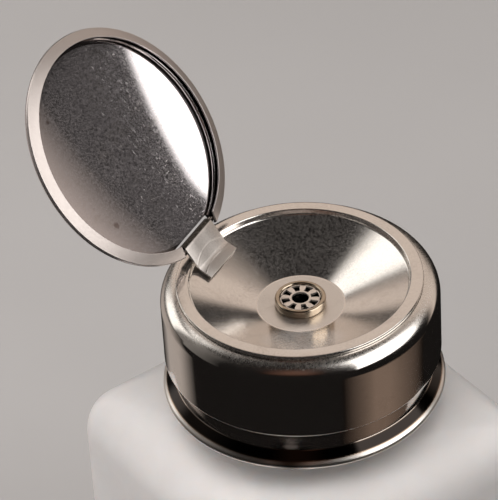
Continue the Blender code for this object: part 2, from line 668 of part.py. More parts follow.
def make_skirt(group, look):
    """Spun skirt under the dish's band, with a round shoulder and a straight wall."""
    top = CREASE_Z + SEAT_GAP / 2 - SEAT_GAP
    centre_r = SKIRT_RADIUS - SKIRT_SHOULDER
    centre_z = top - SKIRT_SHOULDER * math.sin(math.radians(SKIRT_SHOULDER_START))
    lip = RIM_RADIUS - SKIRT_LIP
    outline = [(lip, top)]
    outline += arc(centre_r, centre_z, SKIRT_SHOULDER, SKIRT_SHOULDER_START, 0, 6)
    outline += [(SKIRT_RADIUS, SKIRT_LOW_Z), (SKIRT_RADIUS - SHEET, SKIRT_LOW_Z)]
    outline += arc(centre_r, centre_z, SKIRT_SHOULDER - SHEET, 0, SKIRT_SHOULDER_START, 6)
    outline += [(lip, top - SHEET)]
    return turned("head_skirt", outline, LARGE_STEPS, group, look)


def strap_path():
    """Middle line of the strap in its own upright plane: foot on the dish, slope, bend and curl."""
    half = STRAP_WIDTH / 2
    bowl_slope = math.atan2(DISH_DEPTH, CREASE_RADIUS - DISH_FLOOR_RADIUS)
    rise = (SEAT_GAP + STRAP_SHEET / 2) / math.cos(bowl_slope)
    ends = (CREASE_RADIUS - STRAP_TOE_REACH, CREASE_RADIUS - STRAP_FOOT_REACH)
    foot = [(r, dish_height(math.hypot(r, half)) + rise) for r in ends]
    foot.append((foot[1][0] + STRAP_RISE_RUN, foot[1][1] + STRAP_RISE_RUN * math.tan(STRAP_RISE_SLOPE)))
    bend = (HINGE_RADIUS - STRAP_BEND_IN, HINGE_Z - STRAP_BEND_DROP)
    reach = math.hypot(STRAP_BEND_IN, STRAP_BEND_DROP)
    heading = math.atan2(STRAP_BEND_DROP, STRAP_BEND_IN) + math.asin(CURL_RADIUS / reach)
    first = heading + math.pi / 2
    curl = [first - CURL_TURN * k / CURL_STEPS for k in range(CURL_STEPS + 1)]
    rolled = [(HINGE_RADIUS + CURL_RADIUS * math.cos(a), HINGE_Z + CURL_RADIUS * math.sin(a)) for a in curl]
    return foot + [bend] + rolled


def make_strap(group, look):
    """Bent strap: a sheet strip given its thickness, curled round the pin at its outer end."""
    points = strap_path()
    half = STRAP_WIDTH / 2
    verts = [(r, side, z) for r, z in points for side in (-half, half)]
    faces = [(2 * k, 2 * k + 1, 2 * k + 3, 2 * k + 2) for k in range(len(points) - 1)]
    mesh = bpy.data.meshes.new("hinge_strap")
    mesh.from_pydata(verts, [], faces)
    strap = place(bpy.data.objects.new("hinge_strap", mesh), group, look)
    strap.rotation_euler = (0, 0, HINGE_AZIMUTH)
    sheet = strap.modifiers.new("sheet", "SOLIDIFY")
    sheet.thickness = STRAP_SHEET
    sheet.offset = 0
    return strap


def make_pivot(group):
    """Empty on the lid's hinge axis: its X points outwards and its Y lies along the pin."""
    pivot = bpy.data.objects.new("lid_pivot", None)
    group.objects.link(pivot)
    pivot.empty_display_size = PIN_LENGTH
    pivot.location = (HINGE_RADIUS * math.cos(HINGE_AZIMUTH), HINGE_RADIUS * math.sin(HINGE_AZIMUTH), HINGE_Z)
    pivot.rotation_euler = (0, LID_OPEN_ANGLE, HINGE_AZIMUTH)
    return pivot


def lid_outline():
    """Half profile of the closed lid, from the top's centre round the rolled rim and lip to the inside."""
    low = LIP_LOW_Z
    corner_r = LID_RADIUS - LID_CORNER
    corner_z = low + LID_CORNER_RISE
    inner_corner = LID_CORNER - LID_SHEET
    top = corner_z + LID_CORNER
    wall_r = LID_RADIUS - LID_SHEET
    outer = [(corner_r * across, top + LID_DOME * up) for across, up in LID_DOME_SHARES]
    outer += arc(corner_r, corner_z, LID_CORNER, 90, 0, 5)
    lip = [(LID_RADIUS - LID_SHEET / 4, low + LIP_RISE - LID_SHEET / 4),
           (LID_RADIUS - LID_SHEET, low + LIP_RISE - LID_SHEET / 2), (LIP_EDGE_RADIUS, low),
           (LIP_EDGE_RADIUS, low + LID_SHEET), (wall_r - LID_SHEET, low + LIP_RISE)]
    inner = arc(corner_r, corner_z, inner_corner, 0, 90, 4)
    inner += [(corner_r * across, top - LID_SHEET + LID_DOME * up) for across, up in LID_DOME_SHARES[::-1]]
    return outer + lip + inner


def make_lid(group, cutters, lid_look, pin_look):
    pivot = make_pivot(group)
    seat = Vector((-HINGE_RADIUS, 0, -HINGE_Z))
    lid = turned("flip_lid", lid_outline(), LARGE_STEPS, group, lid_look, closed=False)
    lid.parent = pivot
    lid.location = seat
    notch_depth = NOTCH_DEPTH + CUT_OVERRUN
    notch_height = LID_CORNER_RISE + LID_CORNER + 2 * CUT_OVERRUN
    bpy.ops.mesh.primitive_cube_add(size=1)
    notch = cutter(bpy.context.object, cutters)
    notch.name = "lid_notch"
    notch.scale = (notch_depth, NOTCH_WIDTH, notch_height)
    notch.parent = pivot
    notch_z = LIP_LOW_Z + (LID_CORNER_RISE + LID_CORNER) / 2
    notch.location = seat + Vector((LID_RADIUS - NOTCH_DEPTH + notch_depth / 2, 0, notch_z))
    cut(lid, notch)
    bpy.ops.mesh.primitive_cylinder_add(vertices=12, radius=PIN_RADIUS + PIN_GAP,
                                        depth=PIN_LENGTH + 2 * PIN_GAP)
    eye = cutter(bpy.context.object, cutters)
    eye.name = "pin_eye"
    eye.parent = pivot
    eye.rotation_euler = (math.pi / 2, 0, 0)
    cut(lid, eye)
    bpy.ops.mesh.primitive_cylinder_add(vertices=12, radius=PIN_RADIUS, depth=PIN_LENGTH)
    pin = bpy.context.object
    for old in list(pin.users_collection):
        old.objects.unlink(pin)
    place(pin, group, pin_look)
    pin.name = "hinge_pin"
    pin.data.shade_smooth()
    pin.parent = pivot
    pin.rotation_euler = (math.pi / 2, 0, 0)
    return lid


def build():
    clear_scene()
    group = collection("pump_dispenser_bottle")
    cutters = collection("cutters")
    frosted = (0.78, 0.74, 0.73)
    steel = (0.62, 0.58, 0.54)
    white = (0.85, 0.85, 0.83)
    make_bottle(group, cutters, material("frosted_plastic", frosted, 0.45, 0))
    make_gasket(group, material("gasket_rubber", (0.25, 0.25, 0.26), 0.7, 0))
    make_insert(group, cutters, material("insert_plastic", white, 0.4, 0))
    make_collar(group, material("collar_steel", steel, 0.15, 1))
    make_housing(group, material("housing_plastic", (0.82, 0.84, 0.86), 0.35, 0))
    make_tube(group, material("tube_plastic", (0.88, 0.9, 0.92), 0.3, 0))
    make_inlet_valve(group, cutters, material("inlet_ball_steel", (0.7, 0.7, 0.72), 0.1, 1),
                     material("cage_plastic", white, 0.4, 0))
    make_guide(group, material("guide_plastic", white, 0.4, 0))
    make_piston(group, material("piston_plastic", (0.8, 0.82, 0.8), 0.4, 0),
                material("seal_rubber", (0.12, 0.12, 0.13), 0.6, 0))
    make_spring(group, material("spring_steel", (0.66, 0.66, 0.68), 0.2, 1))
    make_stem(group, material("stem_plastic", (0.9, 0.9, 0.88), 0.35, 0))
    make_washer(group, material("washer_plastic", (0.75, 0.76, 0.78), 0.5, 0))
    seat_top, well, floor = make_nozzle(group, material("nozzle_steel", (0.66, 0.58, 0.46), 0.2, 1))
    outlet_ball_z = seated_ball_height(seat_top, OUTLET_BALL_RADIUS, OUTLET_SEAT_RADIUS)
    ball("outlet_ball", OUTLET_BALL_RADIUS, outlet_ball_z, group,
         material("outlet_ball_steel", (0.7, 0.7, 0.72), 0.1, 1))
    make_star(group, material("star_steel", (0.72, 0.66, 0.58), 0.25, 1), well, floor)
    make_dish(group, material("dish_steel", steel, 0.2, 1))
    make_skirt(group, material("skirt_steel", steel, 0.12, 1))
    make_strap(group, material("strap_steel", (0.66, 0.62, 0.58), 0.3, 1))
    make_lid(group, cutters, material("lid_steel", steel, 0.15, 1),
             material("pin_steel", (0.5, 0.48, 0.45), 0.3, 1))
    bpy.context.view_layer.update()


build()
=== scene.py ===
"""Looks of the pump dispenser bottle: fine meshes, finishes, floor, light and camera."""
import json
import math

import bmesh
import bpy
from mathutils import Euler, Matrix, Vector


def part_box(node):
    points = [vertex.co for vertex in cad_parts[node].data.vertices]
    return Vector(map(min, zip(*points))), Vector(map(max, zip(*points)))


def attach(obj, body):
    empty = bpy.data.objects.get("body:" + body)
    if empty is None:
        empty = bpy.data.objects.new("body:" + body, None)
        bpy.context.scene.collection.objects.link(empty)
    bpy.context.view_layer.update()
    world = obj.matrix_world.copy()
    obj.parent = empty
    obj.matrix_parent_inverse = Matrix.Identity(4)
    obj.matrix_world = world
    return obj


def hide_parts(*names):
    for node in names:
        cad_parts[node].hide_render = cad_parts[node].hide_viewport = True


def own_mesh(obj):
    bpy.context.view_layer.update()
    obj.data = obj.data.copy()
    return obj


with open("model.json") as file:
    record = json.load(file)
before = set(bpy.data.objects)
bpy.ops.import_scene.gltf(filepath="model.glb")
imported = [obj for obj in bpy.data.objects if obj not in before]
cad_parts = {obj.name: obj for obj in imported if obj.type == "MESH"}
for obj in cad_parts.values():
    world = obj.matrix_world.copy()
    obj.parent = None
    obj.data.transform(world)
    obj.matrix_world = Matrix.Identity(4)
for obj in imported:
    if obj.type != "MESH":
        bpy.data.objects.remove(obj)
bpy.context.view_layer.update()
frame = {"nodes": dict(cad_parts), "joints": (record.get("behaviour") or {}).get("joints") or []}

# Places taken from the frame, in metres
DISH_LOW, DISH_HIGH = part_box("dish")
SKIRT_LOW, SKIRT_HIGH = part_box("head_skirt")
COLLAR_LOW, COLLAR_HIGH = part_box("screw_collar")
NOZZLE_LOW, NOZZLE_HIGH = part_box("nozzle_body")
STAR_LOW, STAR_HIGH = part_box("nozzle_star")
BOTTLE_LOW, BOTTLE_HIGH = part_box("bottle_body")
SPRING_LOW, SPRING_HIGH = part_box("return_spring")
HINGE = next(joint for joint in frame["joints"] if joint["name"] == "lid_hinge")
HINGE_POINT = Vector(HINGE["pos_m"])
HINGE_RADIUS = math.hypot(HINGE_POINT.x, HINGE_POINT.y)
HINGE_Z = HINGE_POINT.z
HINGE_AZIMUTH = math.atan2(HINGE_POINT.y, HINGE_POINT.x)

# Sheet metal
SHEET = 0.0005
EDGE_FILLET = 0.00012
PRESS_FILLET = 0.0004
SEAM = 0.00006
STEEL = (0.80, 0.755, 0.71)
DULL_STEEL = (0.60, 0.55, 0.50)
SPECK = (0.30, 0.26, 0.23)
HAIRLINE_DEPTH = 0.000002
HAIRLINES = (((0.2, 0.1, 0.5), (420, 8000, 8000), 0.74),
             ((0.1, 0.3, -0.6), (8500, 480, 8500), 0.75),
             ((0.5, -0.2, 1.2), (520, 9000, 9000), 0.75))

# Dish
RIM_TOP_Z = DISH_HIGH.z
RIM_RADIUS = DISH_HIGH.x
RIM_HEIGHT = 0.0011
RIM_WIDTH = 0.0026
RIM_STEP = 0.0006
CREASE_RADIUS = RIM_RADIUS - RIM_WIDTH
CREASE_Z = RIM_TOP_Z - RIM_HEIGHT
DISH_UNDER_Z = DISH_LOW.z
DISH_FLOOR_Z = DISH_UNDER_Z + SHEET
DISH_FLOOR_RADIUS = 0.0081
DISH_FLOOR_WEAR = 0.2
DISH_EYE_RADIUS = 0.0032
DISH_FILM = (-0.0078, -0.0112)
DISH_FILM_RADII = (0.004, 0.0085)
DISH_FILM_SHARES = (0.24, 0.38)
BAND_GAP = 0.00015

# Skirt
SKIRT_RADIUS = SKIRT_HIGH.x
SKIRT_TOP_Z = SKIRT_HIGH.z
SKIRT_SHOULDER = 0.0033
SKIRT_LIFT = 0.0004
SKIRT_INNER_END = 62
SKIRT_LIP = 0.0017
SKIRT_WORN_SHARE = 0.6
SKIRT_WEAR = 0.26

# Collar
COLLAR_TOP_Z = COLLAR_HIGH.z
BEAD_RADIUS = 0.00075
BEAD_CENTRE_RADIUS = COLLAR_HIGH.x - BEAD_RADIUS
BEAD_Z = COLLAR_LOW.z + BEAD_RADIUS
BEAD_END = -160
BEAD_WEAR = 0.2
FLANGE_REACH = 0.0022
FLANGE_SLOPE = 42
FLANGE_FILLET = 0.0002
COLLAR_RADIUS = COLLAR_HIGH.x - FLANGE_REACH
COLLAR_CORNER = 0.0008
COLLAR_EYE_RADIUS = 0.0072
# Painted shade: a brown ring and a near-black crease where the collar's wall turns out to the flange
CREASE_SHADE_RADII = (0.0252, 0.0255)
CREASE_SHADE = (0.022, 0.018, 0.016)
CREASE_BROWN_SHADE = (0.34, 0.19, 0.085)
# Painted shade: a dark spot low on the collar's wall, at the front left
COLLAR_SHADE_SPOT = (-0.01608, -0.01755)
COLLAR_SHADE_SPOT_RADII = (0.0015, 0.0045)
COLLAR_SHADE_SPOT_HEIGHTS = (0.0973, 0.0986)
COLLAR_SHADE_TINT = (0.03, 0.024, 0.02)

# Outlet
NOZZLE_RADIUS = NOZZLE_HIGH.x
NOZZLE_TOP_Z = NOZZLE_HIGH.z
NOZZLE_RING = 0.0012
NOZZLE_Z = NOZZLE_TOP_Z - NOZZLE_RING
NOZZLE_WALL = 0.0009
NOZZLE_FLOOR = 0.0003
NOZZLE_FILLET = 0.00042
NOZZLE_FOOT = 0.00027
NOZZLE_CROWN = 0.00018
NOZZLE_TINT = (0.50, 0.415, 0.32)
NOZZLE_DULL = (0.36, 0.27, 0.19)
# Painted shade: the well under the star
WELL_SHADE = (0.012, 0.01, 0.009)
SHANK_RADIUS = 0.0029
SHANK_BORE_RADIUS = 0.0021
SEAT_HEIGHTS = (0.0008, 0.0018)
SEAT_RADIUS = 0.0011
STAR_RADIUS = STAR_HIGH.x
STAR_EYE_RADIUS = 0.00158
STAR_FILLET = 0.00004
STAR_GAP_STEPS = 6
# Painted shade: the star's outer band, darkened where it meets the well's wall
STAR_SHADE_RADII = (0.00358, 0.00372)
STAR_TINT = (0.86, 0.78, 0.71)
STAR_BAND_SHADE = (0.05, 0.04, 0.032)
PETALS = 8
PETAL_SIDES = ((0.00198, 0.00036), (0.0022, 0.00041), (0.0025, 0.00050), (0.0028, 0.00056), (0.0031, 0.00058),
               (0.0034, 0.00053), (0.00358, 0.00042), (0.00368, 0.00026), (0.00375, 0.00020))

# Lid
LID_OPEN_ANGLE = math.radians(129.5)
LID_OVERHANG = 0.0004
LID_RADIUS = RIM_RADIUS + LID_OVERHANG
LID_SHEET = 0.00045
LID_CORNER = 0.0012
LID_CORNER_RISE = 0.00105
LID_DOME = 0.0015
LID_DOME_STEPS = 14
LID_BEAD = 0.00036
LID_BEAD_CIRCLE = 0.0211
LID_BEAD_END = -170
LID_BEAD_FOOT = 1.02
LID_FACE_STEP = 0.01
LIP_GAP = 0.0004
LIP_LOW_Z = RIM_TOP_Z + LIP_GAP
LIP_WIDTH = 0.00215
LIP_RISE = 0.00086
LIP_EDGE_RADIUS = LID_RADIUS - LIP_WIDTH
LID_CORNER_Z = LIP_LOW_Z + LID_CORNER_RISE
LID_TOP_Z = LID_CORNER_Z + LID_CORNER
LID_CLEAN = 0.0198
LID_TINT = (0.79, 0.74, 0.745)
# Painted shade: near black in the channels behind the lip and beyond the bead
LID_CHANNEL_SHADE = (0.03, 0.025, 0.022)
LIP_TINT = (0.50, 0.45, 0.425)
LIP_WEAR = 0.30
WORN_RING = (0.0054, -0.0008)
WORN_RING_RADIUS = 0.0058
WORN_RING_WIDTH = 0.0007
WORN_RING_WEAR = 0.12
LID_STAINS = ((0.00874, 0.01284, 0.0009), (-0.01341, 0.01069, 0.0006))
LID_STAIN = (0.24, 0.15, 0.12)
NOTCH_WIDTH = 0.0116
NOTCH_DEPTH = 0.0030
NOTCH_OVERRUN = 0.002

# Pin and strap
PIN_RADIUS = 0.00045
PIN_LENGTH = 0.0126
PIN_GAP = 0.00015
PIN_TINT = (0.68, 0.64, 0.6)
STRAP_SHEET = 0.00045
STRAP_WIDTH = 0.0096
STRAP_TOE_INSET = 0.0042
STRAP_FOOT_INSET = 0.0026
STRAP_TOE_RADIUS = CREASE_RADIUS - STRAP_TOE_INSET
STRAP_FOOT_RADIUS = CREASE_RADIUS - STRAP_FOOT_INSET
STRAP_RISE_RUN = 0.0009
STRAP_RISE_SLOPE = math.radians(30)
STRAP_BEND_FILLET = 0.0015
STRAP_EDGE = 0.00012
STRAP_ARCS = ((0.0040, 0.0151), (0.0022, 0.0152))
STRAP_LINE_WIDTH = 0.00016
STRAP_LINE_DEPTH = 0.00002
STRAP_SHADE_RADIUS = 0.0206
STRAP_TINT = (0.70, 0.65, 0.61)
# Painted highlight along the scratch grooves
STRAP_LINE_HIGHLIGHT = (0.95, 0.9, 0.86)
# Painted shade on one side of the strap, on its foot and by the curl
STRAP_SIDE_SHADE = (0.42, 0.385, 0.36)
STRAP_FOOT_SHADE = (0.40, 0.365, 0.34)
STRAP_SHADE = (0.035, 0.032, 0.025)
STRAP_GRIT = (0.38, 0.35, 0.33)
CURL_TURN = math.radians(262)
CURL_STEPS = 20
SEAT_GAP = 0.0003

# Bottle
HALF_WIDTH = BOTTLE_HIGH.x
NECK_TOP_Z = BOTTLE_HIGH.z
SIDE_HEIGHT = 0.0768
CORNER_RADIUS = 0.0064
CORNER_MINIMUM = 0.0024
CORNER_STEPS = 20
BASE_EDGE_RADIUS = 0.003
BASE_EDGE_STEPS = 8
SHOULDER_RADIUS = 0.0108
SHOULDER_SLOPE = math.radians(20)
SHOULDER_ARC_STEPS = 16
SHOULDER_SLOPE_STEPS = 10
NECK_RADIUS = 0.017
NECK_WALL = 0.0018
NECK_LENGTH = 0.0088
NECK_FILLET = 0.0012
NECK_FILLET_ANGLES = (35, 50, 65, 78, 90)
ROUND_MARGIN = 0.0031
ROUND_INSET = HALF_WIDTH - NECK_RADIUS - ROUND_MARGIN
ROUNDING_POWER = 2.9
BOTTLE_WALL = 0.0015
BOTTLE_FLOOR = 0.0018
FROSTED = (0.86, 0.815, 0.79)
FROST_SCATTER = (1.0, 0.8, 0.7)
FROST_WAVE_DEPTH = 0.00004
THREAD_PITCH = 0.004
THREAD_DEPTH = 0.001
THREAD_RISE = 0.0042
THREAD_TURNS = 1.1
THREAD_STEPS = 48

# Return spring
SPRING_WIRE = 0.00045
SPRING_TURNS = 8
SPRING_STEPS = 28
SPRING_TINT = (0.7, 0.7, 0.72)

# Mesh fineness
SEGMENTS = 192
SMALL_SEGMENTS = 96
PIN_SEGMENTS = 32
BORE_SEGMENTS = 24
ON_AXIS = 1e-9
QUARTER_TURN = math.pi / 2
MERGE_DISTANCE = 0.000005
EDGE_SHARE = 0.45
LEAST_TURN = math.radians(14)
SMALL_TURN = math.radians(8)

# Camera, fitted to the photograph's ellipses
CAMERA_PLACE = (-0.26558, -0.38069, 0.48859)
CAMERA_TURN = [math.radians(angle) for angle in (51.7477, 2.8838, -36.0945)]
CAMERA_LENS = 237.6
CAMERA_SENSOR = 36
CAMERA_REACH = 20

# Studio
STUDIO_CENTRE = Vector((0, 0, 0.11))
BACKDROP = (0.74, 0.73, 0.72)
DARKNESS = (0.008, 0.007, 0.0065)
FLOOR_HALF = 2.0
FLOOR_PAINT = (0.5, 0.49, 0.48)
FLOOR_PAINTS = ((0.49, 0.48, 0.47), (0.52, 0.51, 0.50))


def arc(centre_r, centre_z, radius, start, end, steps):
    """Points of a circular arc in the profile plane, angles in degrees from +r towards +z."""
    angles = [math.radians(start + (end - start) * k / steps) for k in range(steps + 1)]
    return [(centre_r + radius * math.cos(a), centre_z + radius * math.sin(a)) for a in angles]


def rounded(points, radius, steps=4, closed=True, least_turn=LEAST_TURN):
    """The outline with each corner that turns by least_turn or more replaced by a short curve."""
    count = len(points)
    made = []
    for k, point in enumerate(points):
        if not closed and k in (0, count - 1):
            made.append(point)
            continue
        here = Vector(point)
        before = Vector(points[k - 1]) - here
        after = Vector(points[(k + 1) % count]) - here
        turn = math.pi - before.angle(after)
        if turn < least_turn:
            made.append(point)
            continue
        reach = min(radius * math.tan(turn / 2), before.length * EDGE_SHARE, after.length * EDGE_SHARE)
        first = here + before.normalized() * reach
        last = here + after.normalized() * reach
        for step in range(steps + 1):
            s = step / steps
            made.append(tuple(first * (1 - s) ** 2 + here * 2 * s * (1 - s) + last * s ** 2))
    return made


def linked(name, data):
    """A new object in the scene that holds this data."""
    thing = bpy.data.objects.new(name, data)
    bpy.context.scene.collection.objects.link(thing)
    return thing


def mesh_object(name, verts, faces):
    mesh = bpy.data.meshes.new(name)
    mesh.from_pydata(verts, [], faces)
    mesh.validate()
    return linked(name, mesh)


def smooth(thing, angle=math.radians(40)):
    """Smooth shading, but for edges that turn by more than this."""
    thing.data.shade_smooth()
    thing.data.set_sharp_from_angle(angle=angle)
    return thing


def outward(thing, merge=0.0):
    """Joins points that lie within merge, and makes the faces of a closed mesh point out."""
    shape = bmesh.new()
    shape.from_mesh(thing.data)
    if merge:
        bmesh.ops.remove_doubles(shape, verts=shape.verts, dist=merge)
    bmesh.ops.recalc_face_normals(shape, faces=shape.faces)
    shape.to_mesh(thing.data)
    shape.free()
    return thing


def lathe(name, outline, segments=SEGMENTS, closed=True):
    """An outline of (radius, height) points turned about +Z. An open one starts and ends on the axis."""
    verts = []
    rows = []
    for r, z in outline:
        if r < ON_AXIS:
            rows.append([len(verts)] * segments)
            verts.append((0, 0, z))
            continue
        rows.append(list(range(len(verts), len(verts) + segments)))
        turns = [math.tau * k / segments for k in range(segments)]
        verts += [(r * math.cos(turn), r * math.sin(turn), z) for turn in turns]
    pairs = list(zip(rows, rows[1:]))
    if closed:
        pairs.append((rows[-1], rows[0]))
    faces = []
    for high, low in pairs:
        for k in range(segments):
            after = (k + 1) % segments
            faces.append(list(dict.fromkeys((high[k], low[k], low[after], high[after]))))
    return smooth(outward(mesh_object(name, verts, faces)))


def baked(thing):
    """The mesh that an object shows, with its modifiers or its curve's thickness."""
    bpy.context.view_layer.update()
    return bpy.data.meshes.new_from_object(thing.evaluated_get(bpy.context.evaluated_depsgraph_get()))


def applied(thing):
    """The object with its modifiers made part of its mesh."""
    mesh = baked(thing)
    thing.modifiers.clear()
    thing.data = mesh
    return thing


def bevel(thing, width, segments, least_turn):
    """Rounds the edges that turn by more than this many degrees."""
    edges = thing.modifiers.new("edges", "BEVEL")
    edges.width = width
    edges.segments = segments
    edges.limit_method = "ANGLE"
    edges.angle_limit = math.radians(least_turn)


def cut(target, tool, operation="DIFFERENCE"):
    """Cuts the tool from the target, or joins it on, and removes it."""
    step = target.modifiers.new(tool.name, "BOOLEAN")
    step.operation = operation
    step.solver = "EXACT"
    step.object = tool
    applied(target)
    bpy.data.objects.remove(tool)


def dress(thing, look, body, slot, *nodes):
    """Gives a piece its finish and its body, and hides the CAD nodes it stands for. The slot is not used."""
    thing.data.materials.clear()
    thing.data.materials.append(look.material)
    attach(thing, body)
    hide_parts(*nodes)


class Look:
    """A material under construction: a Principled shader and the nodes that vary it."""

    def __init__(self, name, colour, roughness, metallic=0.0):
        self.material = bpy.data.materials.new(name)
        self.material.use_nodes = True
        self.tree = self.material.node_tree
        self.shader = self.tree.nodes["Principled BSDF"]
        self.set(**{"Base Color": (*colour, 1), "Roughness": roughness, "Metallic": metallic})
        self.coords = self.node("TexCoord").outputs["Object"]

    def placed(self, place):
        """Takes coordinates in this frame from here on, instead of in the object's own."""
        inputs = {"Vector": self.coords, "Location": place.to_translation(), "Rotation": place.to_euler()}
        self.coords = self.node("Mapping", inputs, vector_type="TEXTURE").outputs["Vector"]

    def set(self, **values):
        for name, value in values.items():
            self.shader.inputs[name].default_value = value

    def node(self, kind, inputs=None, **settings):
        made = self.tree.nodes.new("ShaderNode" + kind)
        for name, value in settings.items():
            setattr(made, name, value)
        for name, value in (inputs or {}).items():
            self.feed(made.inputs[name], value)
        return made

    def feed(self, socket, value):
        """Links a socket to another node's output, or sets it to a constant."""
        if isinstance(value, bpy.types.NodeSocket):
            self.tree.links.new(value, socket)
        else:
            socket.default_value = value

    def math(self, operation, first, second=0.0):
        return self.node("Math", {0: first, 1: second}, operation=operation).outputs[0]

    def times(self, value, factor):
        return self.math("MULTIPLY", value, factor)

    def plus(self, value, amount):
        return self.math("ADD", value, amount)

    def inverse(self, mask):
        return self.math("SUBTRACT", 1.0, mask)

    def remap(self, value, low, high, to_low=0.0, to_high=1.0):
        inputs = {"Value": value, "From Min": low, "From Max": high, "To Min": to_low, "To Max": to_high}
        return self.node("MapRange", inputs, interpolation_type="SMOOTHSTEP").outputs["Result"]

    def fade(self, value, low, high, full=1.0):
        """A mask that is full below low and gone above high."""
        return self.remap(value, low, high, full, 0.0)

    def noise(self, scale, detail=3.0, rough=0.55, warp=0.0, vector=None):
        inputs = {"Vector": vector or self.coords, "Scale": scale, "Detail": detail, "Roughness": rough,
                  "Distortion": warp}
        return self.node("TexNoise", inputs).outputs["Fac"]

    def stretched(self, turn, stretch):
        """Coordinates turned and stretched, so that a noise in them runs out into streaks."""
        turned = self.node("Mapping", {"Vector": self.coords, "Rotation": turn, "Scale": stretch})
        return turned.outputs["Vector"]

    def dashes(self, turn, stretch, level):
        """Short separate hairlines: the peaks of a noise stretched one way."""
        value = self.noise(1.0, 1.0, 0.5, 0.0, self.stretched(turn, stretch))
        return self.remap(value, level, level + 0.05)

    def flat(self):
        """Coordinates with the height left out."""
        parts = self.node("SeparateXYZ", {"Vector": self.coords}).outputs
        return self.node("CombineXYZ", {"X": parts["X"], "Y": parts["Y"]}).outputs["Vector"]

    def radius(self):
        """Distance from the Z axis of the piece's own frame."""
        return self.node("VectorMath", {0: self.flat()}, operation="LENGTH").outputs["Value"]

    def away(self, x, y):
        """Distance from an upright line at this place in the piece's own frame."""
        return self.node("VectorMath", {0: self.flat(), 1: (x, y, 0)}, operation="DISTANCE").outputs["Value"]

    def height(self):
        return self.node("SeparateXYZ", {"Vector": self.coords}).outputs["Z"]

    def spun(self):
        """Coordinates of radius and height alone, for marks that run round a spun piece."""
        return self.node("CombineXYZ", {"X": self.radius(), "Y": self.height()}).outputs["Vector"]

    def blend(self, amount, first, second):
        """A colour between two, each of them an output or three numbers."""
        mixed = self.node("Mix", {"Factor": amount}, data_type="RGBA")
        for socket, colour in ((6, first), (7, second)):
            self.feed(mixed.inputs[socket], (*colour, 1) if isinstance(colour, tuple) else colour)
        return mixed.outputs[2]

    def so_far(self, name):
        """What drives this input of the shader now."""
        return self.shader.inputs[name].links[0].from_socket

    def drive(self, name, socket):
        self.feed(self.shader.inputs[name], socket)

    def stain(self, where, tint):
        """Blends this tint over the colour so far."""
        self.drive("Base Color", self.blend(where, self.so_far("Base Color"), tint))

    def rougher(self, where, amount):
        """Adds this much roughness where the mask is one."""
        self.drive("Roughness", self.plus(self.so_far("Roughness"), self.times(where, amount)))

    def bump(self, height, distance, strength=1.0):
        """Adds a bump of this height in metres on top of those added before."""
        normal = self.shader.inputs["Normal"]
        below = normal.links[0].from_socket if normal.links else None
        made = self.node("Bump", {"Height": height, "Distance": distance, "Strength": strength})
        if below is not None:
            self.feed(made.inputs["Normal"], below)
        self.feed(normal, made.outputs["Normal"])


def steel(name, rough, haze=0.06, dust=0.02, peel=0.0, spun=0.0, tint=STEEL, dull=DULL_STEEL, mottle=0.0,
          hairlines=0.08, grain=0.3, grain_scale=1900, place=None):
    """Worn polished steel.

    Smudges add haze to the roughness, and hairlines their own. Dust is the share that doesn't mirror, and
    grain how uneven it is. Peel and spun are the depths of a faint waviness and of turning lines. Mottle is
    the strength of dull specks.
    """
    look = Look(name, tint, rough, 1.0)
    if place is not None:
        look.placed(place)
    smudge = look.remap(look.noise(70, 4.0, 0.6, 0.8), 0.42, 0.7)
    grime = look.remap(look.noise(260, 5.0, 0.65, 0.3), 0.5, 0.75)
    dashes = look.dashes(*HAIRLINES[0])
    for row in HAIRLINES[1:]:
        dashes = look.math("MAXIMUM", dashes, look.dashes(*row))
    tone = look.blend(look.times(grime, 0.35), tint, dull)
    level = look.plus(look.times(smudge, haze), rough)
    grains = look.noise(grain_scale, 4.0, 0.75)
    if mottle:
        patches = look.remap(look.noise(120, 2.0), 0.45, 0.65)
        specks = look.times(look.remap(look.noise(2600, 3.0, 0.7, 0.4), 0.45, 0.75), patches)
        tone = look.blend(look.times(specks, mottle), tone, SPECK)
        level = look.plus(level, look.times(look.remap(grains, 0.35, 0.65), 0.05))
    look.drive("Base Color", tone)
    look.drive("Roughness", look.math("MAXIMUM", level, look.times(dashes, hairlines + rough)))
    settled = look.remap(grains, 0.34, 0.66, (1 - grain) * dust, (1 + grain) * dust)
    settled = look.plus(settled, look.times(dashes, dust))
    look.drive("Metallic", look.inverse(settled))
    if peel:
        look.bump(look.noise(1700, 3.0, 0.6), peel)
    if spun:
        look.bump(look.noise(5200, 2.0, 0.7, 0.0, look.spun()), spun)
    look.bump(dashes, HAIRLINE_DEPTH, 0.6)
    return look


def plastic(name, colour, rough, cloud=0.04, grain=0.000003):
    """Moulded plastic: faint clouding, a fine moulded grain and a few scuffs."""
    look = Look(name, colour, rough)
    paler = tuple(min(1.0, c * (1 + cloud)) for c in colour)
    darker = tuple(c * (1 - cloud) for c in colour)
    look.drive("Base Color", look.blend(look.remap(look.noise(90, 4.0), 0.35, 0.65), darker, paler))
    scuffs = look.dashes((0.4, 0.2, 0.7), (80, 1500, 1500), 0.72)
    look.drive("Roughness", look.plus(look.times(scuffs, 0.12), rough))
    look.bump(look.noise(3800, 2.0), grain)
    return look


def frosted_plastic():
    """Milky blown plastic: soft light inside it, a fine frosted surface and slow waviness."""
    look = plastic("frosted_plastic", FROSTED, 0.46, cloud=0.02, grain=0.0000022)
    look.set(**{"Subsurface Weight": 0.65, "Subsurface Scale": 0.004, "Subsurface Radius": FROST_SCATTER,
                "IOR": 1.46})
    look.bump(look.noise(45, 2.0), FROST_WAVE_DEPTH, 0.6)
    return look


def rubber(name, colour, rough):
    return plastic(name, colour, rough, cloud=0.12, grain=0.00001)


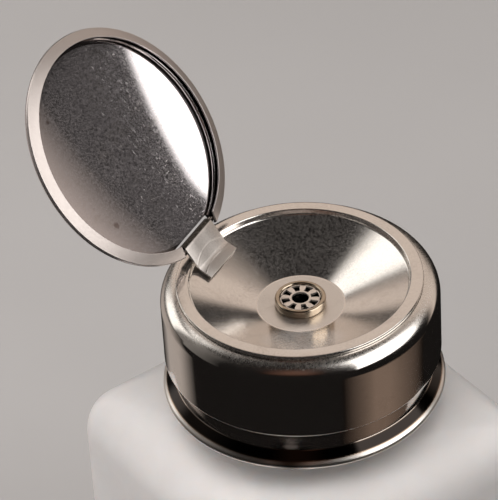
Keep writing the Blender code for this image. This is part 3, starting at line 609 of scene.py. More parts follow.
def dish_outline():
    """Pressed dish: flat floor, conical bowl, crease, and a raised band with a rounded top."""
    top = RIM_TOP_Z
    band_low = CREASE_Z + BAND_GAP
    upper = [(DISH_EYE_RADIUS, DISH_FLOOR_Z), (DISH_FLOOR_RADIUS, DISH_FLOOR_Z), (CREASE_RADIUS, CREASE_Z)]
    band = [(CREASE_RADIUS + RIM_STEP * 0.25, top - RIM_STEP * 1.2),
            (CREASE_RADIUS + RIM_STEP * 0.5, top - RIM_STEP * 0.2),
            (CREASE_RADIUS + RIM_STEP * 0.7, top - RIM_STEP * 0.03),
            (CREASE_RADIUS + RIM_STEP * 1.5, top), (RIM_RADIUS - RIM_STEP * 0.6, top - RIM_STEP * 0.05),
            (RIM_RADIUS - RIM_STEP * 0.12, top - RIM_STEP * 0.12), (RIM_RADIUS, top - RIM_STEP * 0.4),
            (RIM_RADIUS, band_low)]
    under = [(CREASE_RADIUS + RIM_STEP, band_low), (CREASE_RADIUS, CREASE_Z - SHEET),
             (DISH_FLOOR_RADIUS, DISH_UNDER_Z), (DISH_EYE_RADIUS, DISH_UNDER_Z)]
    return rounded(upper + band + under, PRESS_FILLET, steps=5, least_turn=SMALL_TURN)


def dish_look():
    """Speckled steel with a duller flat floor and a water film on one side of the bowl."""
    look = steel("dish_steel", 0.125, haze=0.04, dust=0.038, peel=0.0000022, spun=0.0000004, mottle=0.35,
                 grain=1.0, grain_scale=2450)
    floor = look.fade(look.radius(), DISH_FLOOR_RADIUS - PRESS_FILLET, DISH_FLOOR_RADIUS)
    look.rougher(floor, DISH_FLOOR_WEAR)
    near = look.fade(look.away(*DISH_FILM), *DISH_FILM_RADII)
    uneven = look.remap(look.noise(1500, 3.0, 0.7), 0.3, 0.6, *DISH_FILM_SHARES)
    film = look.times(near, uneven)
    look.drive("Metallic", look.times(look.so_far("Metallic"), look.inverse(film)))
    return look


def make_dish():
    dish = lathe("dish_fine", dish_outline())
    dress(dish, dish_look(), "head", "dish_steel", "dish")


def skirt_outline():
    """Spun skirt: a lip under the dish's band, a round shoulder and a straight wall with a round foot."""
    centre_r = SKIRT_RADIUS - SKIRT_SHOULDER
    centre_z = SKIRT_TOP_Z + SKIRT_LIFT - SKIRT_SHOULDER
    seam_r = RIM_RADIUS + SEAM
    start = math.degrees(math.acos((seam_r - centre_r) / SKIRT_SHOULDER))
    lip = RIM_RADIUS - SKIRT_LIP
    outline = [(lip, SKIRT_TOP_Z), (seam_r, SKIRT_TOP_Z)]
    outline += arc(centre_r, centre_z, SKIRT_SHOULDER, start, 0, steps=24)
    foot = [(SKIRT_RADIUS, SKIRT_LOW.z + SHEET), (SKIRT_RADIUS, SKIRT_LOW.z),
            (SKIRT_RADIUS - SHEET, SKIRT_LOW.z), (SKIRT_RADIUS - SHEET, SKIRT_LOW.z + SHEET)]
    outline += rounded(foot, SHEET / 2, closed=False)
    outline += arc(centre_r, centre_z, SKIRT_SHOULDER - SHEET, 0, SKIRT_INNER_END, steps=10)
    return outline + [(lip, SKIRT_TOP_Z - SHEET)]


def skirt_look():
    """Mirror steel, worn dull and grainy on top of the shoulder."""
    look = steel("skirt_steel", 0.07, haze=0.04, dust=0.004, peel=0.0000008, spun=0.0000008)
    worn_z = SKIRT_TOP_Z - SKIRT_WORN_SHARE * SKIRT_SHOULDER
    worn = look.remap(look.height(), worn_z, SKIRT_TOP_Z + SKIRT_LIFT)
    grain = look.remap(look.noise(2100, 3.0, 0.7), 0.3, 0.7, 0.6, 1.0)
    look.rougher(look.times(worn, grain), SKIRT_WEAR)
    return look


def make_skirt():
    skirt = lathe("head_skirt_fine", skirt_outline())
    dress(skirt, skirt_look(), "head", "skirt_steel", "head_skirt")


def collar_outline():
    """Collar: a straight wall, a sharp turn out to a sloping flange, and a bead rolled under its edge."""
    inner = COLLAR_RADIUS - SHEET
    disc_z = COLLAR_TOP_Z - SHEET
    bead = arc(BEAD_CENTRE_RADIUS, BEAD_Z, BEAD_RADIUS, 90 - FLANGE_SLOPE, BEAD_END, steps=24)
    fall = math.tan(math.radians(FLANGE_SLOPE))
    flange_z = bead[0][1] + (bead[0][0] - COLLAR_RADIUS) * fall
    outline = [(COLLAR_EYE_RADIUS, COLLAR_TOP_Z)]
    outline += arc(COLLAR_RADIUS - COLLAR_CORNER, COLLAR_TOP_Z - COLLAR_CORNER, COLLAR_CORNER, 90, 0, steps=8)
    turn = [(COLLAR_RADIUS, flange_z + COLLAR_CORNER), (COLLAR_RADIUS, flange_z), bead[0]]
    outline += rounded(turn, FLANGE_FILLET, steps=6, closed=False) + bead[1:]
    under_r = BEAD_CENTRE_RADIUS - BEAD_RADIUS
    under = [(under_r, flange_z - (under_r - COLLAR_RADIUS) * fall - SHEET), (inner, flange_z - SHEET / 2),
             (inner, disc_z - SHEET), (inner - SHEET, disc_z), (COLLAR_EYE_RADIUS, disc_z)]
    return outline + under


def collar_look():
    """Mirror steel with painted brown and near-black shade in the flange's crease, a dull bead, and a spot of
    painted shade low on the wall.
    """
    look = steel("collar_steel", 0.09, dust=0.006, peel=0.0000008, spun=0.0000008)
    shade_start, shade_end = CREASE_SHADE_RADII
    foot = look.remap(look.radius(), COLLAR_RADIUS - SEAM, COLLAR_RADIUS + FLANGE_FILLET)
    corner = look.times(foot, look.fade(look.radius(), shade_start, shade_end))
    ring = look.fade(look.radius(), shade_start, shade_end + SHEET / 3, 0.9)
    # Painted shade: brown over the flange's foot, near black in the crease
    look.stain(look.times(foot, ring), CREASE_BROWN_SHADE)
    look.stain(corner, CREASE_SHADE)
    look.rougher(look.remap(look.radius(), shade_start, shade_end), BEAD_WEAR)
    # Painted shade: a dark spot low on the front-left wall
    near = look.fade(look.away(*COLLAR_SHADE_SPOT), *COLLAR_SHADE_SPOT_RADII, 0.9)
    low = look.fade(look.height(), *COLLAR_SHADE_SPOT_HEIGHTS)
    look.stain(look.times(near, low), COLLAR_SHADE_TINT)
    return look


def make_collar():
    collar = lathe("screw_collar_fine", collar_outline())
    dress(collar, collar_look(), "closure", "collar_steel", "screw_collar")


def make_nozzle():
    """Outlet spout: a low ring with rounded edges, a well for the star coloured black as painted shade, and a
    shank.
    """
    well = NOZZLE_RADIUS - NOZZLE_WALL
    floor = NOZZLE_Z + NOZZLE_FLOOR
    seat_low, seat_top = (NOZZLE_LOW.z + rise for rise in SEAT_HEIGHTS)
    foot = NOZZLE_Z - NOZZLE_FOOT
    top = NOZZLE_TOP_Z + NOZZLE_CROWN
    outline = [(well, top), (NOZZLE_RADIUS, top), (NOZZLE_RADIUS, foot),
               (SHANK_RADIUS, foot), (SHANK_RADIUS, NOZZLE_LOW.z), (SHANK_BORE_RADIUS, NOZZLE_LOW.z),
               (SEAT_RADIUS, seat_low), (SEAT_RADIUS, seat_top), (SHANK_BORE_RADIUS, seat_top),
               (SHANK_BORE_RADIUS, floor), (well, floor)]
    look = steel("nozzle_steel", 0.13, dust=0.01, peel=0.000001, tint=NOZZLE_TINT, dull=NOZZLE_DULL)
    # Painted shade: the well's floor and wall under the star coloured near black
    well_shade = look.fade(look.height(), STAR_LOW.z, STAR_HIGH.z)
    well_shade = look.times(well_shade, look.fade(look.radius(), well, well + EDGE_FILLET))
    look.stain(well_shade, WELL_SHADE)
    nozzle = lathe("nozzle_body_fine", rounded(outline, NOZZLE_FILLET, steps=6), SMALL_SEGMENTS)
    dress(nozzle, look, "head", "nozzle_steel", "nozzle_body")


def polar(radius, angle):
    return Vector((radius * math.cos(angle), radius * math.sin(angle)))


def star_ring(inner_radius, outer_radius, half):
    """Points of a ring, two for each petal's sides and some between petals: inner circle, outer circle."""
    angles = []
    for petal in range(PETALS):
        middle = math.tau * petal / PETALS
        gap = math.tau / PETALS - 2 * half
        angles.append(middle - half)
        angles += [middle + half + gap * k / STAR_GAP_STEPS for k in range(STAR_GAP_STEPS)]
    return [[polar(radius, turn) for turn in angles] for radius in (inner_radius, outer_radius)]


def star_mesh():
    """Star plate: a hub ring, eight petals with rounded sides and a thin band, all one sheet."""
    shape = bmesh.new()
    height = STAR_LOW.z

    def verts(points):
        return [shape.verts.new((x, y, height)) for x, y in points]

    def petal_side(middle, sign, start, end):
        points = [polar(radius, middle + sign * half / radius) for radius, half in PETAL_SIDES[1:-1]]
        return [start, *verts(points), end]

    foot_r, foot_half = PETAL_SIDES[0]
    tip_r, tip_half = PETAL_SIDES[-1]
    hub = [verts(points) for points in star_ring(STAR_EYE_RADIUS, foot_r, foot_half / foot_r)]
    band = [verts(points) for points in star_ring(tip_r, STAR_RADIUS, tip_half / tip_r)]
    for inside, outside in (hub, band):
        for k in range(len(inside)):
            shape.faces.new((inside[k - 1], outside[k - 1], outside[k], inside[k]))
    for petal in range(PETALS):
        first = petal * (STAR_GAP_STEPS + 1)
        middle = math.tau * petal / PETALS
        left = petal_side(middle, -1, hub[1][first], band[0][first])
        right = petal_side(middle, 1, hub[1][first + 1], band[0][first + 1])
        for k in range(len(left) - 1):
            shape.faces.new((left[k], left[k + 1], right[k + 1], right[k]))
    raised = bmesh.ops.extrude_face_region(shape, geom=shape.faces[:], use_keep_orig=True)
    tops = [item for item in raised["geom"] if isinstance(item, bmesh.types.BMVert)]
    bmesh.ops.translate(shape, verts=tops, vec=(0, 0, STAR_HIGH.z - STAR_LOW.z))
    bmesh.ops.recalc_face_normals(shape, faces=shape.faces)
    mesh = bpy.data.meshes.new("nozzle_star_fine")
    shape.to_mesh(mesh)
    shape.free()
    return mesh


def make_star():
    star = linked("nozzle_star_fine", star_mesh())
    bevel(star, STAR_FILLET, 2, least_turn=60)
    smooth(applied(star))
    look = steel("star_steel", 0.34, haze=0.1, dust=0.12, peel=0.0000015, tint=STAR_TINT)
    # Painted shade on the star's thin outer band
    look.stain(look.remap(look.radius(), *STAR_SHADE_RADII), STAR_BAND_SHADE)
    dress(star, look, "head", "star_steel", "nozzle_star")


def dish_height(radius):
    share = (radius - DISH_FLOOR_RADIUS) / (CREASE_RADIUS - DISH_FLOOR_RADIUS)
    return DISH_FLOOR_Z + (CREASE_Z - DISH_FLOOR_Z) * share


def strap_path():
    """Middle line of the strap in its own upright plane: foot on the dish, slope, bend and curl."""
    half = STRAP_WIDTH / 2
    curl_radius = PIN_RADIUS + PIN_GAP + STRAP_SHEET / 2
    bowl_slope = math.atan2(CREASE_Z - DISH_FLOOR_Z, CREASE_RADIUS - DISH_FLOOR_RADIUS)
    rise = (SEAT_GAP + STRAP_SHEET / 2) / math.cos(bowl_slope)
    foot = [(r, dish_height(math.hypot(r, half)) + rise) for r in (STRAP_TOE_RADIUS, STRAP_FOOT_RADIUS)]
    foot.append((foot[1][0] + STRAP_RISE_RUN, foot[1][1] + STRAP_RISE_RUN * math.tan(STRAP_RISE_SLOPE)))
    bend_in = HINGE_RADIUS - foot[-1][0]
    bend_drop = HINGE_Z - foot[-1][1]
    reach = math.hypot(bend_in, bend_drop)
    heading = math.atan2(bend_drop, bend_in) + math.asin(curl_radius / reach)
    first = heading + QUARTER_TURN
    curl = [first - CURL_TURN * k / CURL_STEPS for k in range(CURL_STEPS + 1)]
    around = [(HINGE_RADIUS + curl_radius * math.cos(a), HINGE_Z + curl_radius * math.sin(a)) for a in curl]
    return rounded(foot + [around[0]], STRAP_BEND_FILLET, steps=5, closed=False) + around[1:]


def strap_look():
    """Brushed, gritty steel with two curved scratches lightened as painted highlights, and painted shade to
    one side, at the foot and by the curl.
    """
    half = STRAP_WIDTH / 2
    look = steel("strap_steel", 0.34, haze=0.08, dust=0.04, peel=0.000001, tint=STRAP_TINT)
    for centre, reach in STRAP_ARCS:
        off = look.math("ABSOLUTE", look.plus(look.away(centre, 0), -reach))
        line = look.fade(off, 0.0, STRAP_LINE_WIDTH)
        look.bump(line, STRAP_LINE_DEPTH)
        # Painted highlight: the scratch grooves lightened in colour
        look.stain(look.times(line, 0.5), STRAP_LINE_HIGHLIGHT)
    parts = look.node("SeparateXYZ", {"Vector": look.coords}).outputs
    # Painted shade: darker towards one side of the strap
    look.stain(look.remap(parts["Y"], -half, half, 0.0, 0.75), STRAP_SIDE_SHADE)
    # Painted shade on the foot where it lies on the dish
    foot = look.fade(parts["X"], STRAP_FOOT_RADIUS, STRAP_FOOT_RADIUS + STRAP_LINE_WIDTH)
    look.stain(look.times(foot, 0.8), STRAP_FOOT_SHADE)
    shade = look.remap(parts["X"], STRAP_SHADE_RADIUS, STRAP_SHADE_RADIUS + STRAP_LINE_WIDTH)
    look.stain(shade, STRAP_SHADE)
    look.bump(look.noise(1.0, 3.0, 0.6, 0.0, look.stretched((0, 0, 0), (220, 6500, 220))), HAIRLINE_DEPTH)
    look.stain(look.remap(look.noise(3000, 2.0, 0.6), 0.4, 0.7, 0.0, 0.35), STRAP_GRIT)
    return look


def make_strap():
    """Bent strap: a sheet strip with soft edges, curled round the pin at its outer end."""
    points = strap_path()
    half = STRAP_WIDTH / 2
    across = (-half, -half / 3, half / 3, half)
    verts = [(r, side, z) for r, z in points for side in across]
    row = len(across)
    faces = [(row * k + c, row * k + c + 1, row * (k + 1) + c + 1, row * (k + 1) + c)
             for k in range(len(points) - 1) for c in range(row - 1)]
    strap = mesh_object("hinge_strap_fine", verts, faces)
    sheet = strap.modifiers.new("sheet", "SOLIDIFY")
    sheet.thickness = STRAP_SHEET
    sheet.offset = 0
    bevel(strap, STRAP_EDGE, 3, least_turn=50)
    smooth(applied(strap))
    strap.matrix_world = Matrix.Rotation(HINGE_AZIMUTH, 4, "Z")
    dress(strap, strap_look(), "head", "strap_steel", "hinge_strap")


def lid_outline():
    """Half profile of the closed lid, from the top's centre round the rolled rim and lip to the inside."""
    low = LIP_LOW_Z
    corner_r = LID_RADIUS - LID_CORNER
    shares = [k / LID_DOME_STEPS for k in range(LID_DOME_STEPS)]
    wall_r = LID_RADIUS - LID_SHEET
    outer = [(corner_r * s, LID_TOP_Z + LID_DOME * (1 - s * s)) for s in shares]
    outer += arc(corner_r, LID_CORNER_Z, LID_CORNER, 90, 0, steps=14)
    lip = [(LID_RADIUS - LID_SHEET / 4, low + LIP_RISE - LID_SHEET / 4),
           (wall_r, low + LIP_RISE - LID_SHEET / 2), (LIP_EDGE_RADIUS, low),
           (LIP_EDGE_RADIUS, low + LID_SHEET), (wall_r - LID_SHEET, low + LIP_RISE)]
    face_z = LID_TOP_Z - LID_SHEET
    bead_z = face_z + LID_DOME * (1 - (LID_BEAD_CIRCLE / corner_r) ** 2)
    inner = arc(wall_r - LID_BEAD, face_z - LID_BEAD, LID_BEAD, 0, 90, steps=6)
    inner += arc(LID_BEAD_CIRCLE, bead_z, LID_BEAD, 0, LID_BEAD_END, steps=14)
    face_end = (LID_BEAD_CIRCLE - LID_BEAD_FOOT * LID_BEAD) / corner_r
    shares = [share for share in shares if share < face_end - 1 / LID_DOME_STEPS]
    shares += [face_end - LID_FACE_STEP, face_end]
    inner += [(corner_r * s, face_z + LID_DOME * (1 - s * s)) for s in shares[::-1]]
    return outer + rounded(lip, PRESS_FILLET, steps=5, closed=False) + inner


def lid_place():
    """Placement of the open lid: turned about the hinge from where it lies closed."""
    pivot = Matrix.Translation(HINGE_POINT) @ Euler((0, LID_OPEN_ANGLE, HINGE_AZIMUTH)).to_matrix().to_4x4()
    return pivot @ Matrix.Translation((-HINGE_RADIUS, 0, -HINGE_Z))


def lid_look():
    """Dusty mirror with a dull lip, painted near-black shade in the channels by the lip, a worn ring and two
    stains.
    """
    look = steel("lid_steel", 0.034, haze=0.02, dust=0.125, peel=0.0000004, mottle=0.12, hairlines=0.06,
                 tint=LID_TINT, grain=0.7, grain_scale=2700, place=lid_place())
    around = look.remap(look.radius(), LIP_EDGE_RADIUS, LIP_EDGE_RADIUS + EDGE_FILLET)
    low = look.fade(look.height(), LIP_LOW_Z + LIP_RISE, LIP_LOW_Z + LIP_RISE + LID_SHEET)
    lip = look.times(around, low)
    look.rougher(lip, LIP_WEAR)
    look.stain(lip, LIP_TINT)
    lip_slope = LIP_RISE / (LIP_WIDTH - LID_SHEET)
    lip_face = look.plus(look.times(look.plus(look.radius(), -LIP_EDGE_RADIUS), lip_slope), LIP_LOW_Z)
    above = look.math("SUBTRACT", look.height(), lip_face)
    channel_shade = look.remap(above, LID_SHEET * 0.3, LID_SHEET * 0.6)
    channel_shade = look.times(channel_shade, look.fade(look.height(), LID_CORNER_Z, LID_CORNER_Z + LID_SHEET))
    # Painted shade: the channel behind the lip coloured near black
    look.stain(look.times(channel_shade, around), LID_CHANNEL_SHADE)
    clean = look.remap(look.radius(), LID_CLEAN, LID_CLEAN + 2 * EDGE_FILLET)
    clean = look.times(clean, look.inverse(low))
    look.drive("Metallic", look.math("MAXIMUM", look.so_far("Metallic"), clean))
    valley_shade = look.remap(look.radius(), LID_BEAD_CIRCLE + 0.7 * LID_BEAD, LID_BEAD_CIRCLE + LID_BEAD)
    valley_shade = look.times(valley_shade, look.inverse(low))
    inside = look.fade(look.height(), LID_TOP_Z - 0.8 * LID_SHEET, LID_TOP_Z - 0.4 * LID_SHEET)
    wall = look.fade(look.radius(), LID_RADIUS - 0.6 * LID_SHEET, LID_RADIUS - 0.3 * LID_SHEET)
    # Painted shade: the valley beyond the bead coloured near black
    look.stain(look.times(valley_shade, look.times(inside, wall)), LID_CHANNEL_SHADE)
    off_ring = look.math("ABSOLUTE", look.plus(look.away(*WORN_RING), -WORN_RING_RADIUS))
    ring = look.fade(off_ring, 0.0, WORN_RING_WIDTH)
    look.rougher(look.times(ring, look.remap(look.noise(1300, 4.0, 0.8), 0.5, 0.68)), WORN_RING_WEAR)
    for x, y, radius in LID_STAINS:
        blot = look.plus(look.away(x, y), look.times(look.noise(900, 2.0), radius))
        look.stain(look.fade(blot, radius * 0.9, radius * 1.5, 0.55), LID_STAIN)
    return look


def box_tool(name, low, high):
    bpy.ops.mesh.primitive_cube_add(size=1)
    tool = bpy.context.object
    tool.name = name
    tool.scale = [h - l for l, h in zip(low, high)]
    tool.location = [(h + l) / 2 for l, h in zip(low, high)]
    return tool


def make_lid():
    """Flip lid: turned closed, notched for the strap, bored for the pin, and placed open."""
    lid = lathe("flip_lid_fine", lid_outline(), closed=False)
    notch_low = (LID_RADIUS - NOTCH_DEPTH, -NOTCH_WIDTH / 2, LIP_LOW_Z - NOTCH_OVERRUN)
    notch_high = (LID_RADIUS + NOTCH_OVERRUN, NOTCH_WIDTH / 2, LID_TOP_Z + NOTCH_OVERRUN)
    cut(lid, box_tool("lid_notch", notch_low, notch_high))
    bpy.ops.mesh.primitive_cylinder_add(
        vertices=BORE_SEGMENTS, radius=PIN_RADIUS + PIN_GAP, depth=PIN_LENGTH + 2 * PIN_GAP,
        location=(HINGE_RADIUS, 0, HINGE_Z), rotation=(QUARTER_TURN, 0, 0))
    cut(lid, bpy.context.object)
    lid.data.transform(lid_place())
    smooth(lid)
    dress(lid, lid_look(), "lid", "lid_steel", "flip_lid")


def make_pin():
    half = PIN_LENGTH / 2
    outline = [(0, half), (PIN_RADIUS, half), (PIN_RADIUS, -half), (0, -half)]
    pin = lathe("hinge_pin_fine", rounded(outline, PIN_RADIUS / 3, closed=False), PIN_SEGMENTS, closed=False)
    along_y = Matrix.Rotation(QUARTER_TURN, 4, "X")
    pin.matrix_world = lid_place() @ Matrix.Translation((HINGE_RADIUS, 0, HINGE_Z)) @ along_y
    look = steel("pin_steel", 0.22, haze=0.1, tint=PIN_TINT)
    dress(pin, look, "lid", "pin_steel", "hinge_pin")


def section(half, corner, height):
    """One level of the bottle: a square with round corners, or a circle where corner equals half."""
    points = []
    reach = (half - corner) * math.sqrt(2)
    for quarter in range(4):
        turn = QUARTER_TURN / 2 + QUARTER_TURN * quarter
        for k in range(CORNER_STEPS):
            angle = QUARTER_TURN * (quarter + (k + 0.5) / CORNER_STEPS)
            points.append((reach * math.cos(turn) + corner * math.cos(angle),
                           reach * math.sin(turn) + corner * math.sin(angle), height))
    return points


def circle(radius, height):
    return section(radius, radius, height)


def shoulder(wall):
    """Levels from the top of the straight sides to the foot of the neck, moved in by the wall."""
    turn = QUARTER_TURN - SHOULDER_SLOPE
    arc_inset = SHOULDER_RADIUS * (1 - math.cos(turn))
    arc_rise = SHOULDER_RADIUS * math.sin(turn)
    slope_width = HALF_WIDTH - arc_inset - NECK_RADIUS - NECK_FILLET * (1 - math.sin(SHOULDER_SLOPE))
    levels = []
    for k in range(SHOULDER_ARC_STEPS + 1):
        angle = turn * k / SHOULDER_ARC_STEPS
        inset = SHOULDER_RADIUS * (1 - math.cos(angle))
        levels.append((inset, SIDE_HEIGHT + (SHOULDER_RADIUS - wall) * math.sin(angle)))
    for k in range(1, SHOULDER_SLOPE_STEPS + 1):
        inset = arc_inset + slope_width * k / SHOULDER_SLOPE_STEPS
        rise = arc_rise + slope_width * math.tan(SHOULDER_SLOPE) * k / SHOULDER_SLOPE_STEPS
        levels.append((inset, SIDE_HEIGHT + rise - wall))
    made = []
    for inset, height in levels:
        half = HALF_WIDTH - inset
        round_share = min(1, inset / ROUND_INSET) ** ROUNDING_POWER
        rolled = max(CORNER_RADIUS - inset, CORNER_MINIMUM)
        corner = rolled + (half - rolled) * round_share
        made.append(section(half - wall, corner - wall, height))
    return made


def base_levels(wall, floor):
    """Levels of the rounded edge round the base, moved in by the wall."""
    levels = []
    for k in range(BASE_EDGE_STEPS + 1):
        angle = QUARTER_TURN * k / BASE_EDGE_STEPS
        inset = BASE_EDGE_RADIUS * (1 - math.sin(angle))
        rise = BASE_EDGE_RADIUS * (1 - math.cos(angle))
        levels.append(section(HALF_WIDTH - wall - inset, CORNER_RADIUS - wall - inset, floor + rise))
    return levels


def helix_tube(name, radius, low, pitch, turns, wire, steps):
    """A closed round tube along a rising helix."""
    count = round(turns * steps)
    curve = bpy.data.curves.new(name, "CURVE")
    curve.dimensions = "3D"
    curve.bevel_depth = wire
    curve.bevel_resolution = 3
    curve.use_fill_caps = True
    spline = curve.splines.new("POLY")
    spline.points.add(count)
    for k, point in enumerate(spline.points):
        angle = math.tau * k / steps
        point.co = (radius * math.cos(angle), radius * math.sin(angle), low + pitch * k / steps, 1)
    guide = linked(name + "_guide", curve)
    mesh = baked(guide)
    bpy.data.objects.remove(guide)
    return outward(linked(name, mesh), MERGE_DISTANCE)


def make_spring():
    """Return spring: a round wire wound in a helix, carried with the plunger."""
    height = SPRING_HIGH.z - SPRING_LOW.z
    pitch = (height - 2 * SPRING_WIRE) / SPRING_TURNS
    spring = helix_tube("return_spring_fine", SPRING_HIGH.x - SPRING_WIRE, SPRING_LOW.z + SPRING_WIRE, pitch,
                        SPRING_TURNS, SPRING_WIRE, SPRING_STEPS)
    smooth(spring, math.radians(60))
    look = steel("spring_steel", 0.18, haze=0.08, tint=SPRING_TINT)
    dress(spring, look, "plunger", "spring_steel", "return_spring")
    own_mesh(spring)


def make_bottle():
    """The bottle's skin: up the outside, over the lip and down the inside, with the neck's thread."""
    neck_base = NECK_TOP_Z - NECK_LENGTH - NECK_FILLET
    bore = NECK_RADIUS - NECK_WALL
    lip = NECK_WALL / 4
    neck = []
    for angle in map(math.radians, NECK_FILLET_ANGLES):
        radius = NECK_RADIUS + NECK_FILLET * (1 - math.sin(angle))
        neck.append(circle(radius, neck_base + NECK_FILLET * (1 - math.cos(angle))))
    neck += [circle(NECK_RADIUS, NECK_TOP_Z - lip), circle(NECK_RADIUS - lip, NECK_TOP_Z),
             circle(bore + lip, NECK_TOP_Z), circle(bore, NECK_TOP_Z - lip), circle(bore, neck_base)]
    levels = base_levels(0, 0) + shoulder(0) + neck
    levels += shoulder(BOTTLE_WALL)[::-1] + base_levels(BOTTLE_WALL, BOTTLE_FLOOR)[::-1]
    count = len(levels[0])
    last = count * (len(levels) - 1)
    verts = [point for level in levels for point in level]
    faces = [list(range(count))[::-1], list(range(last, last + count))]
    for low in range(0, last, count):
        for k in range(count):
            after = (k + 1) % count
            faces.append((low + k, low + after, low + count + after, low + count + k))
    bottle = outward(mesh_object("bottle_body_fine", verts, faces))
    thread = helix_tube("neck_thread", NECK_RADIUS, neck_base + THREAD_RISE, THREAD_PITCH, THREAD_TURNS,
                        THREAD_DEPTH, THREAD_STEPS)
    cut(bottle, thread, "UNION")
    smooth(bottle)
    dress(bottle, frosted_plastic(), "bottle", "frosted_plastic", "bottle_body")


def dress_inner_nodes():
    """Finishes for the pieces inside, which keep their own shape."""
    white = (0.86, 0.86, 0.84)
    looks = {
        "neck_gasket": rubber("gasket_rubber", (0.22, 0.22, 0.23), 0.7),
        "collar_insert": plastic("insert_plastic", white, 0.4),
        "pump_housing": plastic("housing_plastic", (0.82, 0.84, 0.86), 0.35),
        "stem_guide": plastic("guide_plastic", white, 0.4),
        "dip_tube": plastic("tube_plastic", (0.88, 0.9, 0.92), 0.3),
        "inlet_ball": steel("inlet_ball_steel", 0.08),
        "valve_cage": plastic("cage_plastic", white, 0.4),
        "piston": plastic("piston_plastic", (0.8, 0.82, 0.8), 0.4),
        "piston_seal": rubber("seal_rubber", (0.1, 0.1, 0.11), 0.6),
        "pump_stem": plastic("stem_plastic", (0.9, 0.9, 0.88), 0.35),
        "outlet_ball": steel("outlet_ball_steel", 0.08),
        "dish_washer": plastic("washer_plastic", (0.75, 0.76, 0.78), 0.5),
    }
    for name, look in looks.items():
        mesh = frame["nodes"][name].data
        mesh.materials.clear()
        mesh.materials.append(look.material)


def direction(azimuth, elevation):
    """Unit vector: azimuth in degrees from -Y towards +X, elevation above the floor."""
    a, e = math.radians(azimuth), math.radians(elevation)
    return Vector((math.sin(a) * math.cos(e), -math.cos(a) * math.cos(e), math.sin(e)))


def card_glow(name, strength):
    """A light whose colour comes from the mesh's own glow."""
    look = bpy.data.materials.new(name)
    look.use_nodes = True
    tree = look.node_tree
    tree.nodes.clear()
    shade = tree.nodes.new("ShaderNodeVertexColor")
    shade.layer_name = "glow"
    light = tree.nodes.new("ShaderNodeEmission")
    light.inputs["Strength"].default_value = strength
    out = tree.nodes.new("ShaderNodeOutputMaterial")
    tree.links.new(shade.outputs["Color"], light.inputs["Color"])
    tree.links.new(light.outputs["Emission"], out.inputs["Surface"])
    return look


def card(name, outer, inner, distance, strength, colour):
    """A glowing card seen only in reflections: full between the inner corners, fading to the outer ones.

    Corners are directions from the studio's centre, in degrees of azimuth and elevation.
    """
    count = len(outer)
    verts = [STUDIO_CENTRE + direction(*corner) * distance for corner in outer + inner]
    faces = [(k, (k + 1) % count, (k + 1) % count + count, k + count) for k in range(count)]
    faces.append(tuple(range(count, 2 * count)))
    thing = mesh_object(name, verts, faces)
    glow = thing.data.color_attributes.new("glow", "FLOAT_COLOR", "POINT")
    for k, corner in enumerate(glow.data):
        corner.color = (0, 0, 0, 1) if k < count else (*colour, 1)
    thing.data.materials.append(card_glow(name, strength))
    thing.visible_camera = False
    thing.visible_shadow = False
    thing.visible_diffuse = False


def make_reflections():
    """What the polished metal mirrors: two softboxes, a beige wall, and dim patches low down and left."""
    card("right_softbox", [(3, 7), (46, 9.5), (60, 15.5), (70, 28), (78, 42), (82, 55), (60, 65), (14, 67)],
         [(5, 10), (45, 12), (59, 17), (69, 29), (76, 43), (79, 53), (60, 62), (18, 64)],
         0.9, 2.6, (1.0, 0.98, 0.96))
    card("back_softbox", [(177, 30), (184, 6), (216, -2), (222, 40), (212, 58), (190, 61), (176, 56)],
         [(181, 34), (188, 12), (212, 4), (212, 36), (204, 50), (188, 52), (180, 49)],
         0.9, 1.6, (1.0, 0.97, 0.93))
    card("beige_wall", [(71.5, -16), (95, -8), (110, 4), (117, 17), (127, 20), (150, 19), (160, 9),
                        (168, 4), (178, 16), (178, 58), (128, 66), (90, 63), (77.5, 20)],
         [(83, -10), (96, -1), (108, 10), (115, 23), (127, 25), (152, 24), (163, 13), (166, 10),
          (171, 22), (171, 50), (128, 54), (104, 37), (88, 20)], 1.1, 0.68, (1.0, 0.85, 0.745))
    card("low_right", [(-5, -28), (80, -30), (80, -52), (-5, -52)],
         [(24, -33), (38, -33), (38, -47), (24, -47)], 1.0, 0.21, (1.0, 0.72, 0.56))
    card("low_left", [(160, 2), (226, 0), (224, -54), (160, -54)],
         [(182, -6), (204, -10), (202, -48), (182, -48)], 1.0, 0.42, (1.0, 0.88, 0.8))
    card("left_haze", [(210, -14), (262, -10), (262, 40), (222, 50), (210, 46)],
         [(214, -10), (228, -8), (234, 28), (226, 42), (214, 40)], 1.2, 0.2, (1.0, 0.93, 0.87))
    card("brown_glint", [(-70, 24), (-18, 24), (-18, 70), (-70, 70)],
         [(-52, 42), (-36, 42), (-36, 52), (-52, 52)], 1.0, 0.12, (1.0, 0.5, 0.34))


def area_light(name, azimuth, elevation, distance, size, energy, colour):
    """A soft lamp that lights dull surfaces and leaves no image in polished ones."""
    data = bpy.data.lights.new(name, "AREA")
    data.shape = "SQUARE"
    data.size = size
    data.energy = energy
    data.color = colour
    lamp = linked(name, data)
    way = direction(azimuth, elevation)
    lamp.location = STUDIO_CENTRE + way * distance
    lamp.rotation_euler = way.to_track_quat("Z", "Y").to_euler()
    lamp.visible_camera = False
    lamp.visible_glossy = False


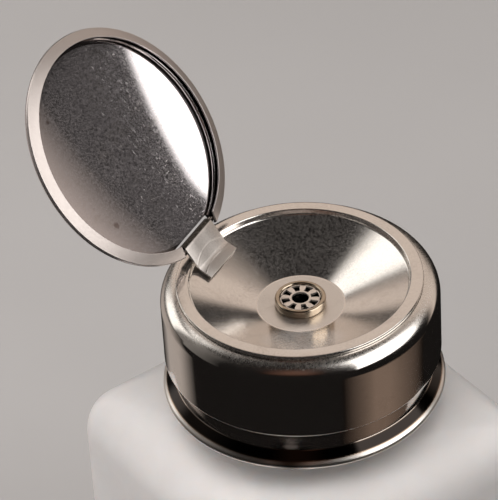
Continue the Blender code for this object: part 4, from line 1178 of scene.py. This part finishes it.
def make_lamps():
    area_light("key_lamp", 38, 44, 0.9, 0.6, 2.6, (1.0, 0.96, 0.94))
    area_light("back_lamp", 195, 40, 0.9, 0.6, 2.6, (1.0, 0.95, 0.92))
    area_light("top_lamp", -60, 75, 1.1, 0.9, 7.6, (1.0, 0.96, 0.95))
    area_light("left_lamp", -80, 22, 1.0, 0.8, 3.6, (1.0, 0.95, 0.94))


def make_world():
    """Pale to the camera, dark to everything else."""
    world = bpy.data.worlds.new("studio")
    world.use_nodes = True
    tree = world.node_tree
    tree.nodes.clear()
    mixed = tree.nodes.new("ShaderNodeMixShader")
    for socket, colour in ((1, DARKNESS), (2, BACKDROP)):
        shade = tree.nodes.new("ShaderNodeBackground")
        shade.inputs["Color"].default_value = (*colour, 1)
        tree.links.new(shade.outputs["Background"], mixed.inputs[socket])
    path = tree.nodes.new("ShaderNodeLightPath")
    out = tree.nodes.new("ShaderNodeOutputWorld")
    tree.links.new(path.outputs["Is Camera Ray"], mixed.inputs["Fac"])
    tree.links.new(mixed.outputs["Shader"], out.inputs["Surface"])
    bpy.context.scene.world = world


def make_floor():
    corners = [(x * FLOOR_HALF, y * FLOOR_HALF, 0) for x, y in ((-1, -1), (1, -1), (1, 1), (-1, 1))]
    floor = mesh_object("floor", corners, [(0, 1, 2, 3)])
    look = Look("floor_paint", FLOOR_PAINT, 0.85)
    look.drive("Base Color", look.blend(look.remap(look.noise(6, 3.0), 0.3, 0.7), *FLOOR_PAINTS))
    floor.data.materials.append(look.material)
    floor.location.z = BOTTLE_LOW.z
    floor.visible_glossy = False


def make_camera():
    data = bpy.data.cameras.new("camera")
    data.lens = CAMERA_LENS
    data.sensor_fit = "VERTICAL"
    data.sensor_height = CAMERA_SENSOR
    data.sensor_width = CAMERA_SENSOR
    data.clip_end = CAMERA_REACH
    camera = linked("camera", data)
    camera.location = CAMERA_PLACE
    camera.rotation_euler = CAMERA_TURN
    bpy.context.scene.camera = camera


bpy.context.scene.view_settings.view_transform = "Standard"
make_camera()
make_world()
make_floor()
make_reflections()
make_lamps()
make_bottle()
make_collar()
make_skirt()
make_dish()
make_nozzle()
make_star()
make_strap()
make_lid()
make_pin()
make_spring()
dress_inner_nodes()
